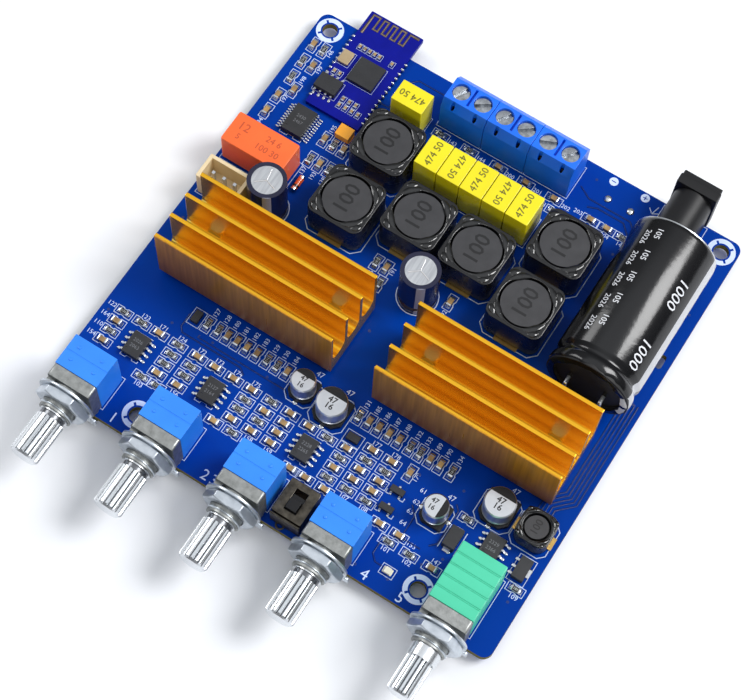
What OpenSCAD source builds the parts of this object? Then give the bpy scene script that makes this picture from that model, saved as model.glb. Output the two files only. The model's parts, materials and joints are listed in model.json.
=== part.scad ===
// Audio amplifier board with heatsinks, tone controls, a volume control and a radio module.
// Millimetres. Pieces are placed from the middle of the board, with z = 0 on its top face. The whole
// model is then moved, so that its origin is under the middle of its box, on the surface it stands on.

/* [Board] */
// Width of the circuit board
board_w = 100; // [98:1:130]
// Depth of the circuit board
board_d = 100; // [97:1:130]
// Thickness of the circuit board
board_t = 1.6; // [1:0.1:2.4]
// Radius of the board's corners
board_corner_r = 2; // [0.5:0.25:3]
// Diameter of the mounting holes
mount_hole_d = 3.2; // [2.4:0.1:3.6]
// Distance of the back holes from the side and back edges
back_hole_inset = 3.4; // [3:0.1:4.5]
// Distance between the front holes
front_hole_pitch = 63.3; // [62:0.1:64]
// Distance of the front holes from the front edge
front_hole_inset = 4.6; // [4:0.1:6]
// Length of the pin tails below the board
tail_l = 1.8; // [1.4:0.1:3]

/* [Heatsinks] */
// Length of a heatsink along its fins
heatsink_l = 40; // [32:1:44]
// Height of a heatsink
heatsink_h = 15; // [10:0.5:25]
// Thickness of a heatsink's base
heatsink_base_t = 4; // [2.5:0.25:6]
// Number of fins on a heatsink
fin_count = 4; // [2:1:4]
// Distance from fin to fin
fin_pitch = 5.15; // [4:0.05:5.4]
// Thickness of a fin
fin_t = 0.85; // [0.6:0.05:1.5]
// Gap between the heatsinks
heatsink_gap = 9.4; // [8:0.2:10]
// Distance of a heatsink's screws from its middle
heatsink_screw_x = 14.2; // [10:0.2:15]
// Thread diameter of the heatsink screws
heatsink_screw_d = 3; // [2.5:0.5:3.5]
// Height of an amplifier chip
amp_chip_h = 1.2; // [0.8:0.1:2]

/* [Rotary controls] */
// Width of a control
control_w = 9.5; // [8.5:0.1:10.4]
// Height of a control
control_h = 10.5; // [10:0.1:13]
// Length of a tone control's moulded body
tone_body_l = 6.8; // [5:0.1:7.6]
// Length of the volume control's moulded body
volume_body_l = 12.1; // [9:0.1:13]
// Distance from one tone control to the next
tone_pitch = 18.9; // [18.4:0.1:19]
// Height of the shafts above the board
shaft_axis_h = 6.2; // [5.8:0.1:6.8]
// Depth of a control's metal front
bracket_t = 2.6; // [2:0.1:3.5]
// Diameter of the threaded bushing
bushing_d = 7; // [6.9:0.1:8]
// Length of the threaded bushing
bushing_l = 5.1; // [4:0.1:7]
// Diameter of a shaft
shaft_d = 6; // [5:0.1:6.1]
// Length of a shaft in front of the bracket
shaft_reach = 15; // [11:0.5:30]
// Number of flutes on a shaft
flute_count = 18; // [12:1:24]
// Width of a nut across its flats
nut_af = 10; // [9:0.1:11]
// Thickness of a nut
nut_t = 2; // [1.5:0.1:3]
// Diameter of a lock washer
washer_d = 12; // [11:0.1:13]
// Thickness of a lock washer
washer_t = 0.5; // [0.3:0.1:1]

/* [Slide switch] */
// Width of the switch
switch_w = 6.5; // [5.8:0.1:7.5]
// Length of the switch
switch_l = 7.4; // [7:0.1:8.4]
// Height of the switch's shell
switch_h = 5; // [4:0.1:7]
// Travel of the slider
switch_travel = 2; // [1.5:0.1:2.2]

/* [Screw terminals] */
// Distance from one terminal to the next
terminal_pitch = 5.08; // [5:0.02:5.4]
// Height of the terminal blocks
terminal_h = 10; // [9.6:0.1:13]
// Depth of the terminal blocks
terminal_d = 7.8; // [7.6:0.1:9]
// Diameter of a terminal screw's head
terminal_head_d = 3.6; // [3.4:0.1:3.7]
// Thread diameter of a terminal screw
terminal_thread_d = 3; // [2.4:0.1:3.1]
// Rise of a clamp from open to shut
clamp_rise = 2; // [1.5:0.1:2.1]

/* [Capacitors] */
// Diameter of the bulk capacitor
bulk_d = 18; // [16:0.5:20]
// Length of the bulk capacitor
bulk_l = 35.3; // [25:0.1:36]
// Distance between the bulk capacitor's leads
bulk_lead_pitch = 7.5; // [5:0.5:7.5]
// Diameter of an upright capacitor
filter_d = 8; // [6.3:0.1:8.2]
// Height of an upright capacitor
filter_h = 12; // [9:0.5:20]
// Length of a film capacitor
film_l = 7.2; // [6.5:0.1:7.4]
// Thickness of a film capacitor
film_t = 5.1; // [3.5:0.1:5.3]
// Height of a film capacitor
film_h = 9.5; // [7:0.1:12]
// Diameter of the larger surface-mount capacitors
large_can_d = 6.3; // [5:0.1:6.5]
// Diameter of the smaller surface-mount capacitors
small_can_d = 5; // [4:0.1:5.2]
// Height of a surface-mount capacitor
smd_can_h = 5.6; // [4.5:0.1:8]

/* [Inductors] */
// Width of a power inductor
inductor_w = 12.3; // [11.5:0.1:13]
// Height of a power inductor
inductor_h = 8; // [5:0.1:10]
// Gap between the two middle inductors
inductor_gap = 1; // [0.6:0.1:1.4]
// Width of the converter's inductor
small_inductor_w = 7; // [6:0.1:7.2]
// Height of the converter's inductor
small_inductor_h = 4.5; // [3:0.1:6]

/* [Connectors and relay] */
// Width of the power jack
jack_w = 9; // [8.6:0.1:10]
// Height of the power jack
jack_h = 11; // [10.4:0.1:13]
// Length of the power jack
jack_l = 14; // [12:0.1:15]
// How far the power jack stands past the back edge
jack_overhang = 3.1; // [0:0.1:4]
// Diameter of the jack's socket
socket_d = 6.4; // [5.6:0.1:6.8]
// Diameter of the jack's centre pin
socket_pin_d = 2.1; // [1.3:0.1:2.5]
// Distance between the input header's pins
header_pitch = 2.5; // [2:0.1:2.54]
// Height of the input header
header_h = 7; // [5.5:0.1:9]
// Length of the relay
relay_l = 14.4; // [12.6:0.1:14.6]
// Width of the relay
relay_w = 7.3; // [6.6:0.1:7.4]
// Height of the relay
relay_h = 8.2; // [6:0.1:12]

/* [Radio module] */
// Width of the radio module's board
module_w = 12.7; // [12:0.1:13]
// Length of the radio module's board
module_l = 25.7; // [25:0.1:26]
// Thickness of the radio module's board
module_t = 1; // [0.6:0.1:1.6]
// How far the radio module stands past the back edge
module_overhang = 5; // [4.8:0.1:6]

/* [Fits] */
// Radial clearance of a turning shaft or screw in its hole
running_clear = 0.03; // [0.02:0.01:0.08]
// Clearance of a sliding piece
sliding_clear = 0.1; // [0.05:0.05:0.2]
// Radial clearance of nuts, washers and screws on what they hold
fastener_clear = 0.05; // [0.02:0.01:0.1]
// Radial clearance of a pin in its drilled hole
drill_clear = 0.15; // [0.1:0.05:0.25]

/* [Hidden] */
$fn = 48;
eps = 0.01;

// Places along the board are counted from its front edge or from its back edge.
front_edge = -board_d / 2;
back_edge = board_d / 2;
function from_front(distance) = front_edge + distance;
function from_back(distance) = back_edge - distance;

// Board details
front_hole_mid = 0.55;
tie_slot_w = 1.4;
tie_slot_l = 3.2;
tie_slot_inset = 2.1;
tie_slot_from_back = 30.8;
tie_slot_round = 0.6;
solder_spread = 0.7;
solder_tip = 0.1;
solder_rise = 0.55 * tail_l;

// Heatsinks and the amplifier chips under them
heatsink_d = (fin_count - 1) * fin_pitch + fin_t;
heatsink_y = -10.15;
heatsink_x = heatsink_gap / 2 + heatsink_l / 2;
heatsink_top = amp_chip_h + heatsink_h;
heatsink_floor = amp_chip_h + heatsink_base_t;
screw_tip_proud = 0.4;
screw_head_r = 2.6;
screw_drive_r = 0.9;

// Rotary controls: axis places, and distances along the shafts
tone_count = 4;
tone_x0 = -42.3;
tone_x = [for (i = [0 : tone_count - 1]) tone_x0 + i * tone_pitch];
volume_x = 40;
control_x = concat(tone_x, [volume_x]);
bracket_overhang = 0.4;
bracket_front = front_edge - bracket_overhang;
bracket_back = bracket_front + bracket_t;
bracket_drop = 0.2;
bracket_h = control_h - bracket_drop;
bracket_round = 0.6;
shaft_r = shaft_d / 2;
collar_proud = 0.9;
collar_r = shaft_r + collar_proud;
collar_t = 1;
collar_room = 0.1;
shaft_l = shaft_reach + bracket_t - collar_room;
bushing_end = bracket_t + bushing_l - collar_room;
neck_gap = 0.3;
neck_l = 1;
neck_depth = 0.4;
flute_depth = 0.35;
tip_chamfer = 0.5;
volume_collar_l = 2.5;
volume_step = 0.4;
volume_flute_r = shaft_r - volume_step;
lug_r = 0.6;
lug_inset = 0.2;
control_pin_r = 0.4;
control_pin_pitch = 2.5;
control_pin_inset = 1.6;
stub_w = 1.6;
stub_x = (stub_w - control_w) / 2;
stub_z = 1.6;
stub_h = 2;
stub_l = 1;
washer_front = bracket_front - stub_l - washer_t;
nut_chamfer = 0.35;
bump_r = 0.35;
bump_h = 0.15;
bump_x = 2.6;
bump_y = 1.4;
seam_w = 0.2;
seam_depth = 0.1;
washer_lug_w = 2.4;
washer_lug_h = 1.8;
washer_lug_round = 0.4;
washer_lug_in = 0.8;
washer_lug_low = 0.32 * washer_d;
washer_lug_at = [washer_d / 2 - washer_lug_in, -washer_lug_low];

// Slide switch
switch_x = 4.85;
switch_from_front = 5.3;
switch_y = from_front(switch_from_front);
switch_wall = 0.35;
switch_round = 0.4;
switch_room_w = switch_w - 2 * switch_wall;
switch_room_l = switch_l - 2 * switch_wall;
switch_base_t = 1.6;
window_w = 2.5;
knob_l = 2.3;
knob_w = window_w - 2 * sliding_clear;
knob_proud = 0.8;
window_l = knob_l + switch_travel + 2 * sliding_clear;
slider_l = switch_room_l - switch_travel - 2 * sliding_clear;
slider_w = 3.6;
switch_pin_r = 0.25;
switch_pin_x = 1.5;
switch_pin_pitch = 2;
switch_plate_t = 0.4;
switch_plate_gap = 0.15;
switch_plate_y = -switch_l / 2 - switch_plate_gap - switch_plate_t / 2;
plate_tie_h = 1.2;
eyelet_r = 1;
eyelet_hole_r = 0.6;
eyelet_t = 0.4;
eyelet_x = -0.9;

// Screw terminals, counted along Y from the screw axis
terminal_count = 6;
ways_per_block = 2;
block_gap = 0.1;
terminal_x0 = -0.9;
chamfer_run = 1.1;
chamfer_drop = 2.5;
slope_run = 1.6;
slope_drop = 1.8;
notch_w = 0.6;
notch_depth = 1.6;
groove_w = 0.5;
groove_l = 4.2;
groove_depth = 1.2;
terminal_back_inset = 2.1;
screw_from_back = 4;
terminal_back = from_back(terminal_back_inset);
terminal_front = terminal_back - terminal_d;
terminal_y = terminal_back - screw_from_back;
terminal_mid = (terminal_count - 1) / 2;
terminal_x = [for (i = [0 : terminal_count - 1]) terminal_x0 + (i - terminal_mid) * terminal_pitch];
cage_w = 3.8;
cage_d = 4;
cage_wall = 0.5;
cage_top_t = 1;
block_floor = 1;
bar_t = 0.6;
leg_room = bar_t + sliding_clear;
bar_w = cage_w - 2 * cage_wall - 2 * sliding_clear;
wire_least = 0.85;
wire_gap = clamp_rise + wire_least;
rest_gap = 0.05;
cage_z = block_floor + rest_gap;
bar_z = cage_z + cage_wall + wire_gap;
cage_top_z = bar_z + bar_t + sliding_clear;
cage_h = cage_top_z + cage_top_t - cage_z;
head_z = cage_z + cage_h + clamp_rise + sliding_clear;
head_recess = 0.6;
head_t = terminal_h - head_recess - head_z;
head_slot_w = 0.7;
head_slot_depth = 0.7;
// How far each screw's slot is turned from the row
screw_turn = [60, 35, 55, 40, 25, 50];
contact_leg_y = -cage_d / 2 - sliding_clear - bar_t / 2;
contact_tail_r = 0.5;

// Inductors
clip_t = 0.3;
clip_out = 0.7;
clip_in = 1.6;
clip_w = 5.2;
shield_round = 2;
shield_wall = 0.85;
core_gap = 0.35;
core_drop = 0.25;
core_floor = 1.2;
column_gap = 0.5;
row_gap = 2.8;
inductor_column = 1.5 * (inductor_w + inductor_gap) + column_gap;
inductor_left = -inductor_column - inductor_w / 2;
inductor_front_from_back = 37.9;
inductor_middle_from_back = 33.2;
inductor_front_y = from_back(inductor_front_from_back);
inductor_back_y = inductor_front_y + inductor_w + row_gap;
inductor_middle_y = from_back(inductor_middle_from_back);
power_inductors = concat(
    [for (side = [-1, 1]) [side * (inductor_w + inductor_gap) / 2, inductor_middle_y]],
    [for (side = [-1, 1], y = [inductor_front_y, inductor_back_y]) [side * inductor_column, y]]
);
small_inductor_x = 44.9;
small_inductor_from_front = 25.6;
small_inductor = [small_inductor_x, from_front(small_inductor_from_front)];
inductor_bulk_gap = 3.4;
bulk_x = inductor_column + inductor_w / 2 + inductor_bulk_gap + bulk_d / 2;

// Power jack
jack_from_bulk = 2.1;
jack_x = bulk_x - jack_from_bulk;
jack_back = back_edge + jack_overhang;
jack_inner = jack_back - jack_l;
jack_flange_t = 3.3;
jack_axis_h = 6.5;
jack_lip_t = 1.1;
jack_lip_inset = 0.25;
barrel_inset = 0.4;
barrel_r = jack_w / 2 - barrel_inset;
socket_depth = 10.5;
jack_pin_tip = 1;
jack_tail_r = 0.7;
spring_w = 2.6;
spring_t = 0.4;
spring_run = 2;
spring_room = 3.2;
spring_proud = 0.5;
spring_from_floor = 3.4;
spring_tail = 1;
spring_y = jack_back - socket_depth + spring_from_floor;
socket_floor = jack_axis_h - socket_d / 2;
jack_plate_t = 0.5;
jack_plate_w = 3;
jack_plate_over = 1.5;
jack_plate_h = jack_axis_h + jack_plate_over;
jack_root_h = 1.5;
side_tail_from_back = 9;
side_tail_inset = 1;
side_tail_y = jack_back - side_tail_from_back;
side_tab_l = 2.4;
side_tab_h = 3.2;
side_tab_t = 1.2;
side_tab_out = 0.4;
side_slot_t = 2;

// Capacitors
bulk_end_gap = 0.8;
bulk_back = jack_inner - bulk_end_gap;
bulk_front = bulk_back - bulk_l;
sleeve_t = 0.2;
lay_gap = 0.05;
bulk_axis_h = bulk_d / 2 + lay_gap;
bulk_lead_r = 0.4;
bulk_lead_run = 1.5;
bead_from_end = 3.4;
bead_w = 2.4;
bead_depth = 0.7;
lip_w = 1.6;
bung_depth = 0.8;
lip_cover = 0.4;
end_cut = 3;
filter_lead_pitch = 3.5;
filter_bead_h = 2;
filter_bead_w = 1.2;
filter_bead_depth = 0.4;
foot_lip = 0.9;
top_lip = 0.7;
film_gap = 0.15;
film_foot = 0.3;
foot_w = 0.9;
film_pitch = film_t + film_gap;
film_x = -0.5;
film_round = 0.25;
film_row_x = [for (i = [-2 : 2]) film_x + i * film_pitch];
film_row_from_back = 20.8;
film_row_y = from_back(film_row_from_back);
film_single_x = -21.35;
film_single_from_back = 12.2;
film_single = [film_single_x, from_back(film_single_from_back)];
film_lead_pitch = 5;
wire_r = 0.3;
smd_base_h = 1.1;
smd_base_margin = 0.3;
smd_base_cut = 0.42;
smd_edge = 0.25;
smd_foot = 0.15;
smd_bead_h = 0.75;
smd_bead_w = 0.5;
smd_bead_depth = 0.2;
// Each: x, y, diameter, turn
smd_cans = [
    [-7.2, from_front(26.1), small_can_d, 0],
    [-0.3, from_front(25.4), large_can_d, 0],
    [36.8, from_front(25.7), large_can_d, 0],
    [27.2, from_front(18.6), small_can_d, -90]
];

// Input header and relay
header_n = 3;
header_ends = 4.8;
header_round = 0.3;
header_slot_l = 3;
header_slot_from_floor = 1;
header_l = (header_n - 1) * header_pitch + header_ends;
header_d = 5.75;
header_wall = 0.8;
header_floor = 1.8;
header_x = -43.7;
header_from_back = 46.7;
header_y = from_back(header_from_back);
header_pin_w = 0.64;
header_pin_drop = 1;
header_pin_h = header_h - header_pin_drop;
header_slot_w = 0.9;
relay_x = -41.6;
relay_from_back = 36.85;
relay_y = from_back(relay_from_back);
relay_foot = 0.4;
relay_inset = 0.3;
relay_round = 0.5;
relay_pin_x = 5.08;
relay_pin_y = 2.54;
filter_header_gap = 0.2;
filter_relay_gap = 0.4;
filter_middle_x = 0.7;
filter_y = relay_y - relay_w / 2 - filter_relay_gap - filter_d / 2;
filters = [
    [header_x + header_l / 2 + filter_header_gap + filter_d / 2, filter_y],
    [filter_middle_x, filter_y]
];

// Radio module
module_x = -35.15;
module_back = back_edge + module_overhang;
module_y = module_back - module_l / 2;
module_round = 0.2;
castellation_r = 0.3;
castellation_pitch = 1.27;
castellation_count = 14;
castellation_start = 2;

// Lead frames: each chip is x, y, turn, body across the leads, body along them, height, pins a side,
// pitch, lead width, reach
lead_t = 0.2;
chip_clear = 0.1;
chip_draft = 0.15;
dimple_inset = 0.8;
dimple_r = 0.35;
dimple_depth = 0.08;
sop8 = [3.9, 5, 1.5, 4, 1.27, 0.42, 1.05];
ssop20 = [5, 6.6, 1.6, 10, 0.65, 0.25, 1.2];
amp_chip = [6.1, 11, amp_chip_h, 16, 0.65, 0.22, 1];
// Each: x, y, turn, kind
chips = [
    [-39.2, from_front(16), 0, sop8],
    [-21.8, from_front(16), 0, sop8],
    [-0.35, from_front(16), 0, sop8],
    [39.6, from_front(18.7), 0, sop8],
    [-39.9, from_back(25.4), 0, ssop20]
];
radio_memory = [module_x - 4.15, from_back(15.4)];
radio_qfn = [module_x + 0.95, from_back(8.9)];
radio_crystal_at = [module_x - 4.75, from_back(7.7)];
crystal_w = 2.5;
crystal_l = 3.2;
crystal_h = 0.7;
crystal_round = 0.3;
qfn_w = 6;
qfn_h = 0.9;

// Chip parts: size, then rows of a place along Y and places along X
chip_l = 2;
chip_w = 1.25;
chip_h = 0.55;
ceramic_h = 0.9;
cap_l = 0.4;
cap_proud = 0.03;
inductor_side = [for (step = [2.3, 4.6, 6.9]) inductor_left - step];
resistors_across = [
    [from_front(20.7), [-45.5, -41.3, -32.7, -11]],
    [from_front(20.4), [2]],
    [from_front(18.3), [-32.7, -28.1, -15.5, 6.2]],
    [from_front(16), [-45.5, -32.7, -28.1, -15.5, -11]],
    [from_front(13.7), [6.2, 10.6, 14.9]],
    [from_front(11.4), [-34.9, -31.4, -13.9]],
    [from_front(20.6), [10.6, 14.9]],
    [from_front(9.3), [22.6, 27.3]],
    [from_front(21.1), [32.9]],
    [from_front(14.4), [47.4]],
    [from_back(11.7), [-14.3, -7.5, 28.5]],
    [from_back(14.1), [13.9]]
];
capacitors_across = [
    [from_front(20.7), [-37.1, -28.1, -24, -19.7, -15.5, -6.6]],
    [from_front(20.4), [-2.2]],
    [from_front(18.3), [-45.5, -11, -6.6, 10.6, 14.9]],
    [from_front(16), [-6.6, 6.2, 10.6, 14.9]],
    [from_front(13.6), [-45.5, -32.7, -28.1, -15.5, -11, -6.6]],
    [from_front(11.4), [-18.1, -0.6, 2.8, 7.1, 19.4, 23.7]],
    [from_front(23), [10.6, 14.9]],
    [from_front(20.6), [6.2]],
    [from_front(9.3), [32.2]],
    [from_back(11.7), [-0.6, 5.9, 12.5, 21, 24.8]]
];
resistors_along = [
    [from_front(27.5), [-30.3, -27.8, -16.4, -14.1, 4.7, 16.3, 18.5, 25.6]],
    [from_back(43.2), [-9.9]],
    [from_back(46.8), [-7]],
    [from_back(8.2), [-45]],
    [from_back(12.7), [-47.3]],
    [from_back(17.1), [-47.1]],
    [from_back(25.7), [inductor_side[1]]],
    [from_back(31.1), [inductor_side[0], inductor_side[2]]]
];
capacitors_along = [
    [from_front(27.5), [-25.6, -23.4, -21.1, -18.8, -11.8, 7, 9.2, 11.5, 13.8, 20.8, 23]],
    [from_front(23), [19]],
    [from_back(43.2), [-7.6]],
    [from_back(42.6), [6.9]],
    [from_back(8.2), [-47.5]],
    [from_back(12.7), [-44.8]],
    [from_back(19.5), [-45]],
    [from_back(22.3), [-47.1]],
    [from_back(26.6), [-47.1]],
    [from_back(25.7), [inductor_side[0], inductor_side[2]]],
    [from_back(31.1), [inductor_side[1]]]
];
// Small parts on the radio module, from the module's back left corner
radio_chip_l = 1;
radio_chip_w = 0.55;
radio_chip_h = 0.5;
radio_rows = [
    [8.8, [2.6, 3.8, 5, 6.2, 7.4]],
    [8.8, [10.4]],
    [16.6, [1.3, 2.6]],
    [21.2, [6.4, 7.9, 9.4]],
    [22.8, [6.4, 7.9, 9.4, 10.9]]
];
diodes_across = [[6.2, from_front(23)]];
diodes_along = [[-32.9, from_front(27.5)]];
transistors = [for (y = [from_front(14.6), from_front(18.6)]) [18.9, y]];
regulator = [46.5, from_front(18.2)];
rectifier = [32.6, from_front(16.2)];
transistor_w = 1.3;
transistor_l = 2.9;
transistor_h = 1;
transistor_foot_x = 0.95;
transistor_lead = [0.4, 0.55, 0.55];
regulator_w = 2.5;
regulator_l = 4.5;
regulator_h = 1.5;
regulator_pitch = 1.5;
regulator_lead = [0.45, 0.8];
regulator_tab = [1.7, 0.6];
rectifier_l = 4.3;
rectifier_w = 2.6;
rectifier_h = 2.1;
rectifier_lead = [1.4, 0.6, 1];
diode_l = 2.6;
diode_w = 1.6;
diode_h = 1;
smd_lead_w = 0.8;
smd_lead_l = 1;
smd_lead_in = 0.6;
flat_lead_t = 0.3;
led_at = [25.6, from_front(4.5)];
led_l = 2;
led_w = 1.25;
led_base_h = 0.35;
led_lens_l = 1.3;
led_lens_h = 0.5;
led_lens_round = 0.15;
tantalum_l = 3.2;
tantalum_w = 2.8;
tantalum_h = 1.8;
tantalum_foot = [0.9, 2.2];
tantalum_foot_x = 1.3;
tantalum_at = [inductor_left - 4, from_back(22.7)];
glass_diode_at = [inductor_left - 5.8, from_back(37.4)];
glass_diode_r = 0.7;
glass_diode_l = 3.5;
glass_cap_l = 0.5;
glass_cap_proud = 0.06;

// Pins that end in the solder: x, y, pin radius
control_rows = [control_pin_inset, control_pin_inset + control_pin_pitch];
control_pins = [
    for (i = [0 : tone_count], column = [-1 : 1], row = control_rows) [
        control_x[i] + column * control_pin_pitch,
        bracket_back + (i < tone_count ? tone_body_l : volume_body_l) - row,
        control_pin_r
    ]
];
switch_pins = [
    for (sx = [-1, 1], sy = [-1 : 1])
        [switch_x + sx * switch_pin_x, switch_y + sy * switch_pin_pitch, switch_pin_r]
];
relay_pins = [
    for (sx = [-1, 0, 1], sy = [-1, 1]) [relay_x + sx * relay_pin_x, relay_y + sy * relay_pin_y, wire_r]
];
header_pins = [for (i = [0 : header_n - 1]) [header_x + (i - 1) * header_pitch, header_y, header_pin_w / 2]];
film_pins = concat(
    [for (x = film_row_x, side = [-1, 1]) [x, film_row_y + side * film_lead_pitch / 2, wire_r]],
    [for (side = [-1, 1]) [film_single[0] + side * film_lead_pitch / 2, film_single[1], wire_r]]
);
filter_pins = [for (at = filters, side = [-1, 1]) [at[0] + side * filter_lead_pitch / 2, at[1], wire_r]];
spare_pads = [[21.7, from_back(5.6), control_pin_r], [26.9, from_back(5.6), control_pin_r]];
buried_pins = concat(
    control_pins, switch_pins, relay_pins, header_pins, film_pins, filter_pins, spare_pads
);

// Pins that are part of another piece and pass through the board: x, y, pin radius
lug_x = control_w / 2 - lug_r - lug_inset;
bracket_lugs = [for (x = control_x, side = [-1, 1]) [x + side * lug_x, bracket_back - bracket_t / 2, lug_r]];
terminal_tails = [for (x = terminal_x) [x, terminal_y + contact_leg_y, contact_tail_r]];
bulk_tails = [
    for (side = [-1, 1]) [bulk_x + side * bulk_lead_pitch / 2, bulk_front - bulk_lead_run, bulk_lead_r]
];
jack_tails = [
    [jack_x, jack_inner + jack_tail_r / 2, jack_tail_r],
    [jack_x, spring_y + spring_tail, jack_tail_r],
    [jack_x - jack_w / 2 + side_tail_inset, side_tail_y, jack_tail_r]
];
through_pins = concat(bracket_lugs, terminal_tails, bulk_tails, jack_tails);

// The model's box sets the place of its origin
frame_y = (bracket_overhang + shaft_reach - module_overhang) / 2;
frame_z = board_t + tail_l;
module on_board() translate([0, frame_y, frame_z]) children();

// Shapes that repeat
module round_rect(w, d, r) {
    square([w - 2 * r, d], center = true);
    square([w, d - 2 * r], center = true);
    for (sx = [-1, 1], sy = [-1, 1]) translate([sx * (w / 2 - r), sy * (d / 2 - r)]) circle(r = r);
}
module block(w, d, h) translate([-w / 2, -d / 2, 0]) cube([w, d, h]);
module tail(r) translate([0, 0, -board_t - tail_l]) cylinder(r = r, h = board_t + tail_l);
// Along the front-to-back axis, with z counted towards the front
module facing_front() rotate([90, 0, 0]) children();

// Circuit board
module board_outline() {
    difference() {
        round_rect(board_w, board_d, board_corner_r);
        for (side = [-1, 1]) {
            translate([side * (board_w / 2 - back_hole_inset), from_back(back_hole_inset)])
                circle(d = mount_hole_d);
            translate([front_hole_mid + side * front_hole_pitch / 2, from_front(front_hole_inset)])
                circle(d = mount_hole_d);
            for (end = [-1, 1]) translate([side * heatsink_x + end * heatsink_screw_x, heatsink_y])
                circle(r = heatsink_screw_d / 2 + fastener_clear);
        }
        for (pin = concat(buried_pins, through_pins))
            translate([pin[0], pin[1]]) circle(r = pin[2] + drill_clear);
        translate([board_w / 2 - tie_slot_inset, from_back(tie_slot_from_back)])
            round_rect(tie_slot_w, tie_slot_l, tie_slot_round);
    }
}
module circuit_board() color("#0737a0") on_board()
    translate([0, 0, -board_t]) linear_extrude(board_t) board_outline();

// Solder: a filled hole with a cone below the board, round its own pin or round another piece's
module solder_cone(pin_r, own_pin) {
    inner = own_pin ? 0 : pin_r;
    hole_r = pin_r + drill_clear;
    tip_z = -board_t - solder_rise;
    end_z = -board_t - tail_l;
    rotate_extrude() polygon(concat(
        [[inner, 0], [hole_r, 0], [hole_r, -board_t]],
        [[pin_r + solder_spread, -board_t], [pin_r + solder_tip, tip_z]],
        own_pin ? [[pin_r, tip_z], [pin_r, end_z], [0, end_z]] : [[inner, tip_z]]
    ));
}
module solder_joints() color("#c9cdd2") on_board() {
    for (pin = buried_pins) translate([pin[0], pin[1], 0]) solder_cone(pin[2], true);
    for (pin = through_pins) translate([pin[0], pin[1], 0]) solder_cone(pin[2], false);
}

// Heatsinks: one extruded profile with upright fins, screwed on from below the board
module heatsink_profile() {
    translate([-heatsink_d / 2, amp_chip_h]) square([heatsink_d, heatsink_base_t]);
    for (i = [0 : fin_count - 1]) translate([-heatsink_d / 2 + i * fin_pitch, heatsink_floor - eps])
        square([fin_t, heatsink_h - heatsink_base_t + eps]);
}
module heatsink(side) {
    translate([side * heatsink_x, heatsink_y, 0]) difference() {
        translate([-heatsink_l / 2, 0, 0]) rotate([90, 0, 90]) linear_extrude(heatsink_l) heatsink_profile();
        for (end = [-1, 1]) translate([end * heatsink_screw_x, 0, 0])
            cylinder(d = heatsink_screw_d + 2 * fastener_clear, h = heatsink_floor + 1);
    }
}
module heatsink_left() color("#e0a010") on_board() heatsink(-1);
module heatsink_right() color("#e0a010") on_board() heatsink(1);
module heatsink_screws() color("#8a8d92") on_board()
    for (side = [-1, 1], end = [-1, 1])
        translate([side * heatsink_x + end * heatsink_screw_x, heatsink_y, -board_t - tail_l]) difference() {
            union() {
                cylinder(r = screw_head_r, h = tail_l);
                cylinder(d = heatsink_screw_d, h = tail_l + board_t + heatsink_floor + screw_tip_proud);
            }
            translate([0, 0, -eps]) cylinder(r = screw_drive_r, h = tail_l / 2, $fn = 6);
        }
module amplifier_chips() color("#1c1c1e") on_board()
    for (side = [-1, 1]) translate([side * heatsink_x, heatsink_y, chip_clear])
        block(amp_chip[1], amp_chip[0], amp_chip[2] - chip_clear);

// Rotary controls
module control_body(x, l, seams) translate([x, bracket_back + l / 2, 0]) difference() {
    block(control_w, l, control_h);
    for (y = seams) translate([0, y, control_h - seam_depth]) block(control_w + 1, seam_w, control_h);
}
module tone_control_bodies() color("#2f95ff") on_board() for (x = tone_x) {
    control_body(x, tone_body_l, [0]);
    for (sx = [-1, 1], sy = [-1, 1])
        translate([x + sx * bump_x, bracket_back + tone_body_l / 2 + sy * bump_y, control_h - eps])
            cylinder(r = bump_r, h = bump_h + eps);
}
module volume_control_body() color("#4bcda5") on_board()
    control_body(volume_x, volume_body_l, [for (i = [-3 : 2 : 3]) i * volume_body_l / 10]);
module bracket() {
    difference() {
        union() {
            translate([0, bracket_back, bracket_h / 2]) facing_front() linear_extrude(bracket_t)
                round_rect(control_w, bracket_h, bracket_round);
            translate([0, bracket_front, shaft_axis_h]) facing_front()
                translate([0, 0, -eps]) cylinder(d = bushing_d, h = bushing_l + eps);
            translate([stub_x, bracket_front, shaft_axis_h + stub_z]) facing_front() translate([0, 0, -eps])
                linear_extrude(stub_l + eps) square([stub_w, stub_h], center = true);
            for (side = [-1, 1]) translate([side * lug_x, bracket_back - bracket_t / 2, 0]) {
                tail(lug_r);
                cylinder(r = lug_r, h = bracket_round);
            }
        }
        translate([0, bracket_back, shaft_axis_h]) facing_front() translate([0, 0, -eps]) {
            cylinder(r = shaft_r + running_clear, h = bracket_t + bushing_l + 1);
            cylinder(r = collar_r + sliding_clear, h = collar_t + 2 * collar_room + eps);
        }
    }
}
module control_brackets() color("#a9adb0") on_board() for (x = control_x) translate([x, 0, 0]) bracket();
module control_washers() color("#b9bfc4") on_board()
    for (x = control_x) translate([x, bracket_front - stub_l, shaft_axis_h]) facing_front()
        linear_extrude(washer_t) difference() {
            union() {
                circle(d = washer_d);
                translate(washer_lug_at) round_rect(washer_lug_w, washer_lug_h, washer_lug_round);
            }
            circle(r = bushing_d / 2 + fastener_clear);
        }
module control_nuts() color("#c8d7dc") on_board()
    for (x = control_x) translate([x, washer_front, shaft_axis_h]) facing_front() difference() {
        corner_r = nut_af / 2 / cos(30);
        bore_r = bushing_d / 2 + fastener_clear;
        intersection() {
            cylinder(r = corner_r, h = nut_t, $fn = 6);
            rotate_extrude() polygon([
                [0, 0], [nut_af / 2, 0], [corner_r, nut_chamfer], [corner_r, nut_t - nut_chamfer],
                [nut_af / 2, nut_t], [0, nut_t]
            ]);
        }
        translate([0, 0, -eps]) cylinder(r = bore_r, h = nut_t + 1);
    }
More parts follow.
